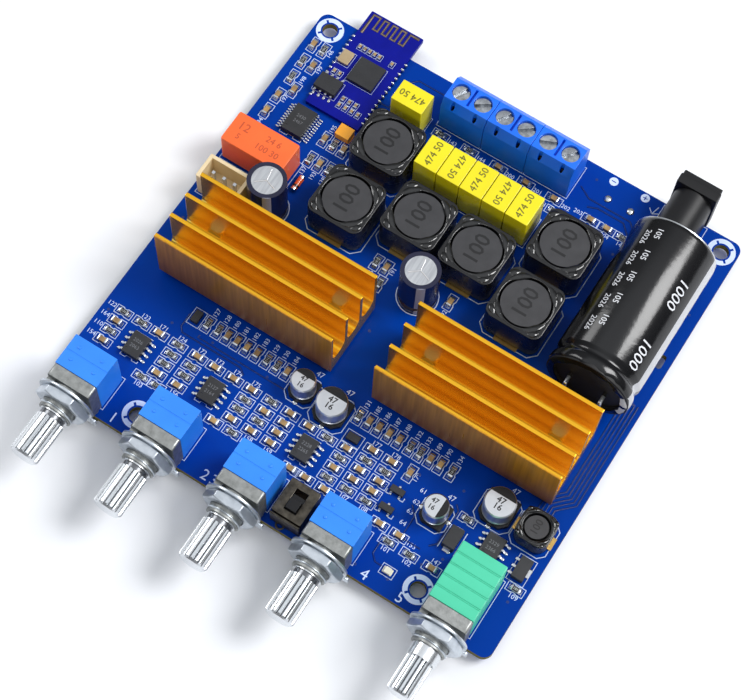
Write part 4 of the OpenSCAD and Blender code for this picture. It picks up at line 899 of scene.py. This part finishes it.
for i, y in enumerate((-28.6, -31.2, -33.4, -36.0)):
    legends.append(number(str(61 + i), 1.0, on_board(23.0, y, PRINT_LIFT)))
dress(join("board_numbers", legends), white_ink)
print(len(legends), "numbers printed")

# %% [markdown]
# A chip part is a small body between two plated ends. Solder rises from the pads to the ends in a hollow
# curve. One of each kind is modelled, then copied to every place.

# %% Chip parts with their solder
CHIP_W, END_FROM, END_TO = 1.12, 0.6, 1.4
RESISTOR_H, CAPACITOR_H = 0.55, 0.9
HOLLOW = ((1.02, 1.0), (1.14, 0.42), (END_TO, 0.06))


def chip_end(side, height):
    """A plated end: a block cut across twice, whose outer part sinks to the pad."""
    middle, half = side * (END_FROM + END_TO) / 2, (END_TO - END_FROM) / 2
    piece = start("cube", Vector((middle, 0, height / 2)) * MM, (half, CHIP_W / 2, height / 2))
    for x, share in HOLLOW[:2]:
        choose(piece, "VERT", lambda p: True)
        bpy.ops.mesh.bisect(plane_co=(side * x * MM, 0, 0), plane_no=(1, 0, 0))
        close_edit()
    for x, share in HOLLOW:
        choose(piece, "VERT", lambda p: abs(p.x * side / MM - x) < 0.02 and p.z / MM > 0.9 * height)
        bpy.ops.transform.translate(value=(0, 0, (share - 1) * height * MM))
        close_edit()
    return piece


def chip_places(solids):
    """The places of chips, with a turn for those that stand across."""
    return [(at.x, at.y, 0 if size.x > size.y else 90) for at, size in solids]


glaze = finish("resistor_glaze", (38, 40, 46), (26, 28, 34), 0.28)
glaze.set("Base Color", glaze.mix(glaze.facing(2) > 0.6, srgb(222, 222, 214), srgb(34, 36, 42)))
tan_ceramic = finish("tan_ceramic", (188, 150, 92), (92, 68, 52), 0.42, patch=420)
tan_top = tan_ceramic.mix(tan_ceramic.noise(420, 3) * 1.6 - 0.3, srgb(196, 160, 100), srgb(104, 78, 58))
# Painted shade: faces that do not point upward are a dark brown; only the tops are tan
tan_ceramic.set("Base Color", tan_ceramic.mix(tan_ceramic.facing(2) > 0.8, srgb(70, 54, 44), tan_top))
bright_solder = finish("bright_solder", (222, 225, 228), (172, 177, 184), 0.22, 1.0, patch=900, grain=2500,
                       depth=0.03)
ends = []
for node, solids, height, coat in (("chip_resistors", resistors, RESISTOR_H, glaze),
                                   ("chip_capacitors", capacitors, CAPACITOR_H, tan_ceramic)):
    body_half = (END_FROM + 0.02, CHIP_W / 2 - 0.03, height / 2 - 0.02)
    body = round_edges(start("cube", Vector((0, 0, height / 2)) * MM, body_half), 0.1)
    dress(copies(node + "_bodies", body, chip_places(solids)), coat, replaced=[node])
    pair = join("ends", [round_edges(chip_end(side, height), 0.05, 1) for side in (-1, 1)])
    ends.append(copies(node + "_ends", pair, chip_places(solids)))
dress(join("chip_ends", ends), bright_solder)

codes = []
for i, (x, y, turn) in enumerate(chip_places(resistors)):
    codes.append(number(str(101 + 10 * (i % 9)), 0.5, on_board(x, y, RESISTOR_H - 0.005), turn))
code_ink = finish("code_ink", (206, 208, 204), (188, 190, 188), 0.5)
dress(join("resistor_numbers", codes), code_ink)
print(len(chips), "chip parts with solder")

# %% [markdown]
# Every lead of a larger chip ends in a drop of solder, a little wider than the lead itself. Drops of the
# same size are one squashed sphere, copied. Those under the heatsinks are not seen and are skipped. Two
# bare joints by the power jack get larger drops.

# %% Solder on leads and pads
HEATSINK_Y, HIDDEN_DEPTH, HIDDEN_X = -10.15, 6, 32
BARE_JOINTS = ((21.7, 44.4), (26.9, 44.4))
drops = {}
chip_middles = [at for at, size in islands("control_chips") + islands("small_semiconductors")
                + islands("radio_chips") + islands("smd_capacitor_bases")]
for at, size in islands("chip_leads"):
    if abs(at.y - HEATSINK_Y) < HIDDEN_DEPTH and abs(at.x) < HIDDEN_X:
        continue
    along = 0 if size.x > size.y else 1
    middle = min(chip_middles, key=lambda c: (c - at).xy.length)
    outward = math.copysign(max(size.x, size.y) * 0.3, at[along] - middle[along])
    place = [at.x, at.y]
    place[along] += outward
    kind = (round(max(size.x, size.y) * 0.42, 2), round(min(size.x, size.y) * 0.66 + 0.05, 2),
            1.0 if at.z > 1 and size.z < 1 else 0.0)
    drops.setdefault(kind, []).append((place[0], place[1], 90 * along))
beads = []
for (half_l, half_w, level), places in drops.items():
    bead = start("ico_sphere", Vector((0, 0, level + 0.05)) * MM, (half_l, half_w, 0.16), subdivisions=2)
    beads.append(copies("bead", smooth(bead), places))
for x, y in BARE_JOINTS:
    beads.append(smooth(start("ico_sphere", on_board(x, y), (0.85, 0.85, 0.5), subdivisions=3)))
dress(join("lead_solder", beads), bright_solder)
print(sum(len(places) for places in drops.values()), "drops of solder")

# %% [markdown]
# Glossy glue holds each drum core at the four corners of its shield. A run of glue is thick in its middle
# and thin at its ends, so it is a curve whose radius swells, along an arc. The number on top is a shade
# darker than the ferrite.

# %% Inductors: glue and numbers
glue = finish("black_glue", (8, 8, 9), (4, 4, 5), 0.07, patch=700, grain=1100, depth=0.12, Coat_Weight=0.6)
dark_ink = finish("dark_ink", (20, 20, 22), (15, 15, 17), 0.4)
GLUE_W, GLUE_H, GLUE_SINK = 0.13, 0.7, 0.14
glued, core_numbers = 0, []
for at, size in islands("inductor_shields"):
    arcs = []
    for corner in (45, 135, 225, 315):
        lean = 4 * math.sin(corner + at.x)
        arcs.append(ring(at.x, at.y, 0.462 * size.x, corner + lean - 27, corner + lean + 27, 14))
        arcs.append(ring(at.x, at.y, 0.545 * size.x, corner - lean - 11, corner - lean + 11, 8))
    glued += 1
    rim = [ring(at.x, at.y, 0.452 * size.x, steps=48)]
    level = at.z + size.z / 2 - GLUE_SINK
    printed(f"inductor_rim_{glued}", rim, 0.05 * size.x, glue, level, GLUE_H * 0.7)
    printed(f"inductor_glue_{glued}", arcs, GLUE_W * size.x, glue, level, GLUE_H, True)
for at, size in islands("inductor_cores"):
    top = on_board(at.x, at.y, at.z + size.z / 2 + PRINT_LIFT)
    core_numbers.append(number("100", size.x * 0.33, top, 90, size.x * 0.005))
dress(join("inductor_numbers", core_numbers), dark_ink)
print(glued, "inductors glued")

# %% [markdown]
# Round pieces are turned: a profile of radii and lengths is spun by a Screw modifier. A scaled cylinder
# would have no shoulders and no bead. With an offset the same modifier makes a thread.

# %% Turning
def turned(profile, centre, steps=64, turns=1.0, pitch=0.0):
    """Spins a closed profile of radius and length pairs about an axis. Lengths run along -Y."""
    curve = bpy.data.curves.new("profile", "CURVE")
    curve.dimensions = "3D"
    spline = curve.splines.new("POLY")
    spline.points.add(len(profile) - 1)
    for point, (radius, length) in zip(spline.points, profile):
        point.co = (radius * MM, -length * MM, 0, 1)
    spline.use_cyclic_u = True
    piece = bpy.data.objects.new("turned", curve)
    bpy.context.scene.collection.objects.link(piece)
    pick(piece)
    bpy.ops.object.convert(target="MESH")
    modify(piece, "SCREW", axis="Y", angle=2 * math.pi * turns, steps=int(steps * turns),
           render_steps=int(steps * turns), screw_offset=pitch * turns * MM, use_merge_vertices=turns == 1,
           merge_threshold=1e-6)
    choose(piece, "VERT", lambda p: True)
    bpy.ops.mesh.normals_make_consistent(inside=False)
    close_edit()
    piece.location = centre
    bpy.ops.object.shade_smooth_by_angle(angle=math.radians(40))
    return settle(piece)


print("round pieces can be turned now")

# %% [markdown]
# The black sleeve is shrunk over the can's shoulders and into its bead. Its front lip shrinks unevenly, so
# a Displace modifier wrinkles only that end.

# %% Sleeve of the lying capacitor
WALL, LIP_DEPTH = 0.12, 0.9
WRINKLE_L, WRINKLE_H = 2.6, 0.7
sleeve_r = (sleeve_high.x - sleeve_low.x) / 2 / MM
sleeve_l = (sleeve_high.y - sleeve_low.y) / MM
shoulder = [(1.7, 0.0), (1.0, 0.0), (0.55, 0.12), (0.22, 0.4), (0.06, 0.8), (0.0, 1.3)]
bead_at = sleeve_l - 3.4
hollow = [(0.0, -1.4), (0.12, -1.0), (0.5, -0.5), (0.66, 0.0), (0.5, 0.5), (0.12, 1.0), (0.0, 1.4)]
outer = [(sleeve_r - inward, length) for inward, length in shoulder]
outer += [(sleeve_r - inward, bead_at + length) for inward, length in hollow]
outer += [(sleeve_r - inward, sleeve_l - length) for inward, length in reversed(shoulder)]
inner = [(radius - WALL, min(max(length, 0.15), sleeve_l - 0.15)) for radius, length in reversed(outer[1:-1])]
sleeve_axis = Vector((sleeve_middle.x, sleeve_high.y, sleeve_middle.z))
sleeve = turned(outer + inner, sleeve_axis, steps=96)
sleeve.name = "bulk_sleeve"
lip = sleeve.vertex_groups.new(name="lip")
lip.add([v.index for v in sleeve.data.vertices if v.co.y < sleeve_low.y + LIP_DEPTH * MM], 1.0, "REPLACE")
wrinkles = bpy.data.textures.new("wrinkles", "CLOUDS")
wrinkles.noise_scale, wrinkles.cloud_type = WRINKLE_L * MM, "COLOR"
modify(sleeve, "DISPLACE", texture=wrinkles, vertex_group="lip", direction="RGB_TO_XYZ",
       strength=WRINKLE_H * MM)
dress(sleeve, coats["black_sleeve"], replaced=["bulk_capacitor_sleeve"])
print("a sleeve", round(sleeve_l, 1), "mm long")

# %% [markdown]
# White numbers run along the sleeve. Each is laid flat on top, turned round the can's axis to its side,
# and then wrapped on the sleeve by a Shrinkwrap modifier, because flat text would sink into the round.

# %% Numbers on the sleeve
NUMBER_STEP = 5.3
# Each number: text, height, distance from the back end, angle about the can's axis
sleeve_texts = [("2026", 1.25, 5.4 + NUMBER_STEP * i, -36) for i in range(5)]
sleeve_texts += [("105", 1.25, 4.0 + NUMBER_STEP * i, -22) for i in range(5)]
sleeve_texts += [("1000", 2.5, from_back, 40) for from_back in (12.5, 27)]
sleeve_ink = finish("sleeve_ink", (226, 228, 232), (210, 212, 218), 0.45)
sleeve_numbers = []
for text, size, from_back, side in sleeve_texts:
    place = Vector((sleeve_middle.x, sleeve_high.y - from_back * MM, sleeve_high.z))
    piece = number(text, size, place, -90, 0.01)
    piece.matrix_world = (Matrix.Translation(sleeve_middle) @ Matrix.Rotation(math.radians(side), 4, "Y")
                          @ Matrix.Translation(-sleeve_middle))
    settle(piece)
    choose(piece, "FACE", lambda middle: True)
    bpy.ops.mesh.subdivide(number_cuts=2)
    close_edit()
    sleeve_numbers.append(modify(piece, "SHRINKWRAP", target=sleeve, wrap_method="NEAREST_SURFACEPOINT",
                                 offset=PRINT_LIFT * MM))
dress(join("sleeve_numbers", sleeve_numbers), sleeve_ink)
print(len(sleeve_numbers), "numbers on the sleeve")

# %% [markdown]
# Each bushing has a fine thread in front of its nut. The thread is one small profile, spun several turns
# with an offset, over the plain cylinder of the solid.

# %% Threads of the bushings
THREAD_PITCH, CREST_R, ROOT_R = 0.75, 3.68, 3.4
nut_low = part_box("control_nuts")[0]
bushing_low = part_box("control_brackets")[0]
thread_l = (nut_low.y - bushing_low.y) / MM
thread_turns = thread_l / THREAD_PITCH - 0.75
threads = []
for at, size in islands("control_nuts"):
    ridge = [(ROOT_R, 0.0), (CREST_R, 0.28), (CREST_R, 0.4), (ROOT_R, 0.68)]
    thread_at = on_board(at.x, from_board(nut_low).y, at.z)
    threads.append(turned(ridge, thread_at, 40, thread_turns, -THREAD_PITCH))
dress(join("bushing_threads", threads), coats["zinc_steel"])
print(len(threads), "threads of", round(thread_turns, 1), "turns")

# %% [markdown]
# The tops of the small cans carry a black segment on the side of the negative lead: a disc that is
# bisected, with one side cleared. The upright capacitors have a vent of three score lines, drawn as
# near-white
# lines: a painted highlight of the light that the grooves catch.

# %% Cans
SEGMENT_FROM, SCORE_L = 0.42, 2.5
segments, can_numbers, scores = [], [], []
for at, size in islands("smd_capacitor_cans"):
    top, radius = at.z + size.z / 2, size.x / 2 - 0.22
    turned_round = 20 < at.x < 30
    segment = disc(at.x, at.y, radius, 0.03, top)
    choose(segment, "VERT", lambda p: True)
    side = Vector((1, 0, 0)) if turned_round else Vector((0, 1, 0))
    bpy.ops.mesh.bisect(plane_co=on_board(at.x, at.y, top) + side * radius * SEGMENT_FROM * MM, plane_no=side,
                        clear_inner=True, use_fill=True)
    close_edit()
    segments.append(segment)
    for text, shift in (("47", 0.3), ("16", -1.1)):
        x, y = (at.x - 0.75, at.y + shift + 0.4) if turned_round else (at.x, at.y + shift)
        can_numbers.append(number(text, size.x * 0.2, on_board(x, y, top + PRINT_LIFT), weight=0.03))
dress(join("can_segments", segments), coats["black_plastic"])
for at, size in islands("filter_capacitor_cans"):
    for turn in (100, 220, 340):
        scores.append(placed([(0, 0), (SCORE_L, 0)], at.x, at.y, turn, closed=False))
score_level = max(at.z + size.z / 2 for at, size in islands("filter_capacitor_cans"))
# Painted highlight: the score lines are near-white, standing in for light caught by the grooves
score_highlight = finish("vent_score_highlight", (250, 250, 251), (226, 228, 231), 0.3, 0.5)
printed("vent_scores", scores, 0.28, score_highlight, score_level)
dress(join("can_numbers", can_numbers), dark_ink)
print(len(segments), "segments,", len(scores), "score lines")

# %% [markdown]
# The film capacitors, the relay and the chips carry printed or burnt numbers. Text is placed flat on each
# top face, in an ink a little darker or paler than the plastic.

# %% Numbers on parts
film_ink = finish("film_ink", (122, 116, 18), (104, 98, 14), 0.5)
film_numbers = []
for i, (at, size) in enumerate(islands("film_capacitors")):
    turn = (90 if size.y > size.x else 0) + 180 * (i % 2)
    top = on_board(at.x, at.y, at.z + size.z / 2 + PRINT_LIFT)
    film_numbers.append(number("474 50", 1.5, top, turn, 0.03))
dress(join("film_numbers", film_numbers), film_ink)

# Each number on the relay: text, height, place from the middle
RELAY_TEXTS = (("12", 1.9, -4.4, 0.9), ("5", 1.3, -4.4, -1.5), ("24 6", 1.4, 2.4, 1.2),
               ("100 30", 1.4, 2.2, -1.2))
relay_ink = finish("relay_ink", (198, 78, 34), (186, 70, 28), 0.5)
(relay_at, relay_size), = islands("signal_relay")
relay_top = relay_at.z + relay_size.z / 2 + PRINT_LIFT
relay_numbers = [number(text, size, on_board(relay_at.x + x, relay_at.y + y, relay_top), weight=0.02)
                 for text, size, x, y in RELAY_TEXTS]
dress(join("relay_numbers", relay_numbers), relay_ink)

chip_ink = finish("chip_ink", (112, 114, 118), (98, 100, 104), 0.5)
chip_numbers = []
for i, (at, size) in enumerate(islands("control_chips")):
    for line in (0, 1):
        place = on_board(at.x, at.y + 0.75 - 1.3 * line, at.z + size.z / 2 + PRINT_LIFT)
        chip_numbers.append(number(str(2026 + 101 * i + 37 * line), 0.75, place))
dress(join("chip_numbers", chip_numbers), chip_ink)
print(len(film_numbers) + len(relay_numbers) + len(chip_numbers), "numbers on parts")

# %% [markdown]
# The radio module is a small board of its own, soldered down by plated half-holes along its sides. Its
# antenna is a copper line that winds to and fro at the open end: one path, worked out by a loop. A drop of
# solder fills each half-hole, and thin print goes round its parts.

# %% Radio module
HALF_HOLES, HALF_HOLE_STEP = 14, 1.27
WIND_STEP, ANTENNA_W = 1.05, 0.7
module_low, module_high = (from_board(corner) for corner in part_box("radio_board"))
module_top = module_high.z
tarnished = finish("tarnished_copper", (150, 132, 112), (118, 102, 90), 0.42, 0.7, patch=800)
left, right = module_low.x + 0.9, module_high.x - 0.5
low, high = module_high.y - 3.7, module_high.y - 0.6
meander = [(left, low - 2), (left, high), (left + 1.6, high)]
x, at_top = left + 1.6, True
while x < right - 1.4:
    y = low if at_top else high
    meander += [(x, y), (x + WIND_STEP, y)]
    x, at_top = x + WIND_STEP, not at_top
meander += [(right - 0.2, y)]
printed("antenna", [meander], ANTENNA_W, tarnished, module_top)

half_holes = []
for i in range(HALF_HOLES):
    y = module_low.y + 2 + HALF_HOLE_STEP * i
    half_holes += [(module_low.x, y, 0), (module_high.x, y, 0)]
drop = start("ico_sphere", Vector((0, 0, module_top * 0.5)) * MM, (0.55, 0.36, 0.62), subdivisions=2)
dress(copies("module_solder", smooth(drop), half_holes), bright_solder)

small_parts = [(at.x, at.y, 0) for at, size in islands("radio_chips") if size.x < 1]
body = round_edges(start("cube", Vector((0, 0, module_top + 0.26)) * MM, (0.29, 0.28, 0.26)), 0.04)
dress(copies("module_part_bodies", body, small_parts), tan_ceramic)
caps = [round_edges(start("cube", Vector((0, side * 0.4, module_top + 0.27)) * MM, (0.3, 0.15, 0.27)), 0.05)
        for side in (-1, 1)]
dress(copies("module_part_ends", join("ends", caps), small_parts), bright_solder)

module_marks = []
for at, size in islands("radio_chips") + islands("radio_crystal"):
    module_marks.append(rectangle(at.x, at.y, size.x + 0.5, size.y + 0.5))
printed("module_outlines", module_marks, 0.13, white_ink, module_top)
print(len(half_holes), "half-holes soldered")

# %% [markdown]
# Copper under the mask shows as faint ridges. The tracks here are the ones that can be seen between the
# parts, and each is a path with as few points as its bends need. A via is a small disc where a track goes
# through the board.

# %% Tracks
track_shade = finish("covered_track", (0, 44, 124), (0, 38, 110), 0.3)
tracks = [
    [(-34.5, -22.4), (-34.5, -25.6), (-33.6, -26.6), (-20, -26.6), (-18.6, -27.6)],
    [(-30.4, -25.2), (-30.4, -25.8), (-10.2, -25.8), (-9.4, -26.6)],
    [(22.6, -32), (24.2, -33.8), (24.2, -38.6), (28.4, -38.6)],
    [(29.6, -27.4), (30.6, -28.4), (30.6, -36), (29.4, -37.2)],
    [(21.4, -41.6), (21.4, -44), (22.6, -45.2), (24.4, -45.2)],
    [(15.6, 44), (18.4, 42.4), (28, 42.4), (30, 40.4)],
    [(19, 40.6), (21, 41.4), (27, 41.4), (29, 39.4)],
    [(-30, 37.8), (-26.6, 37.8), (-26.6, 44.6), (-24.6, 46.6), (-18, 46.6)],
]
for i in range(5):
    x = 45.9 + 0.75 * i
    tracks.append([(x, 8.5), (x, -14 - 0.35 * i), (x - 3, -17 - 0.35 * i), (x - 3, -20.4)])
printed("tracks", tracks, 0.4, track_shade)
VIA_R = 0.3
via_places = (
    (-36.4, -26), (-27.4, -25.2), (-14.6, -25.4), (-8.6, -22.4), (20.6, -26.2), (29.4, -24.4), (33, -38),
    (30.2, -41), (36.6, -44.6), (45.4, -34.6), (47.4, -38.4), (44.6, -47), (-25.4, 41), (-20.6, 45),
    (17.6, 47), (33.4, 46.4), (47.8, 8.4), (47.8, 31), (-48.6, -14), (-47.6, -6), (-48.4, -30.4), (3.4, -14),
    (-3.2, -6.4), (2.8, -2.2), (26.4, -46.8), (19.8, -47.6), (-24.8, -47.4), (15.8, 37.2), (28.6, 34.2),
    (-28.8, 45.4),
)
vias = [disc(x, y, VIA_R) for x, y in via_places]
dress(join("vias", vias), track_shade)
print(len(tracks), "tracks and", len(vias), "vias")

# %% [markdown]
# Below the board every joint sits on a tinned pad, and broad tracks lead from the supply to the heatsinks.
# The pads take their places from the solder joints of the solids.

# %% Underside
PAD_MARGIN, PAD_T, SUPPLY_W = 0.3, 0.03, 1.6
board_t = (board_high.z - board_low.z) / MM
pads = [disc(at.x, at.y, size.x / 2 + PAD_MARGIN, PAD_T, -board_t - PAD_T, 24)
        for at, size in islands("solder_joints")]
dress(join("pads_below", pads), bright_solder)
ways = [
    [(36.9, 40), (28, 31), (28, 3), (24.7, -1)], [(39, 1.4), (33, -4.6), (33, -20)],
    [(-13.6, 39), (-13.6, 24), (-24.7, 13), (-24.7, -1)], [(11.8, 39), (11.8, 12), (24.7, -1)],
    [(-41.6, 16), (-30, 4.4), (-30, -20)], [(-42.3, -42), (-42.3, -30), (-36, -23.7)],
    [(-4.5, -42), (-4.5, -24), (0, -19.5), (0, 8)], [(40, -38), (46, -32), (46, 6)],
]
printed("tracks_below", ways, SUPPLY_W, track_shade, -board_t - 2 * PRINT_LIFT, PAD_T)
print(len(pads), "pads below the board")
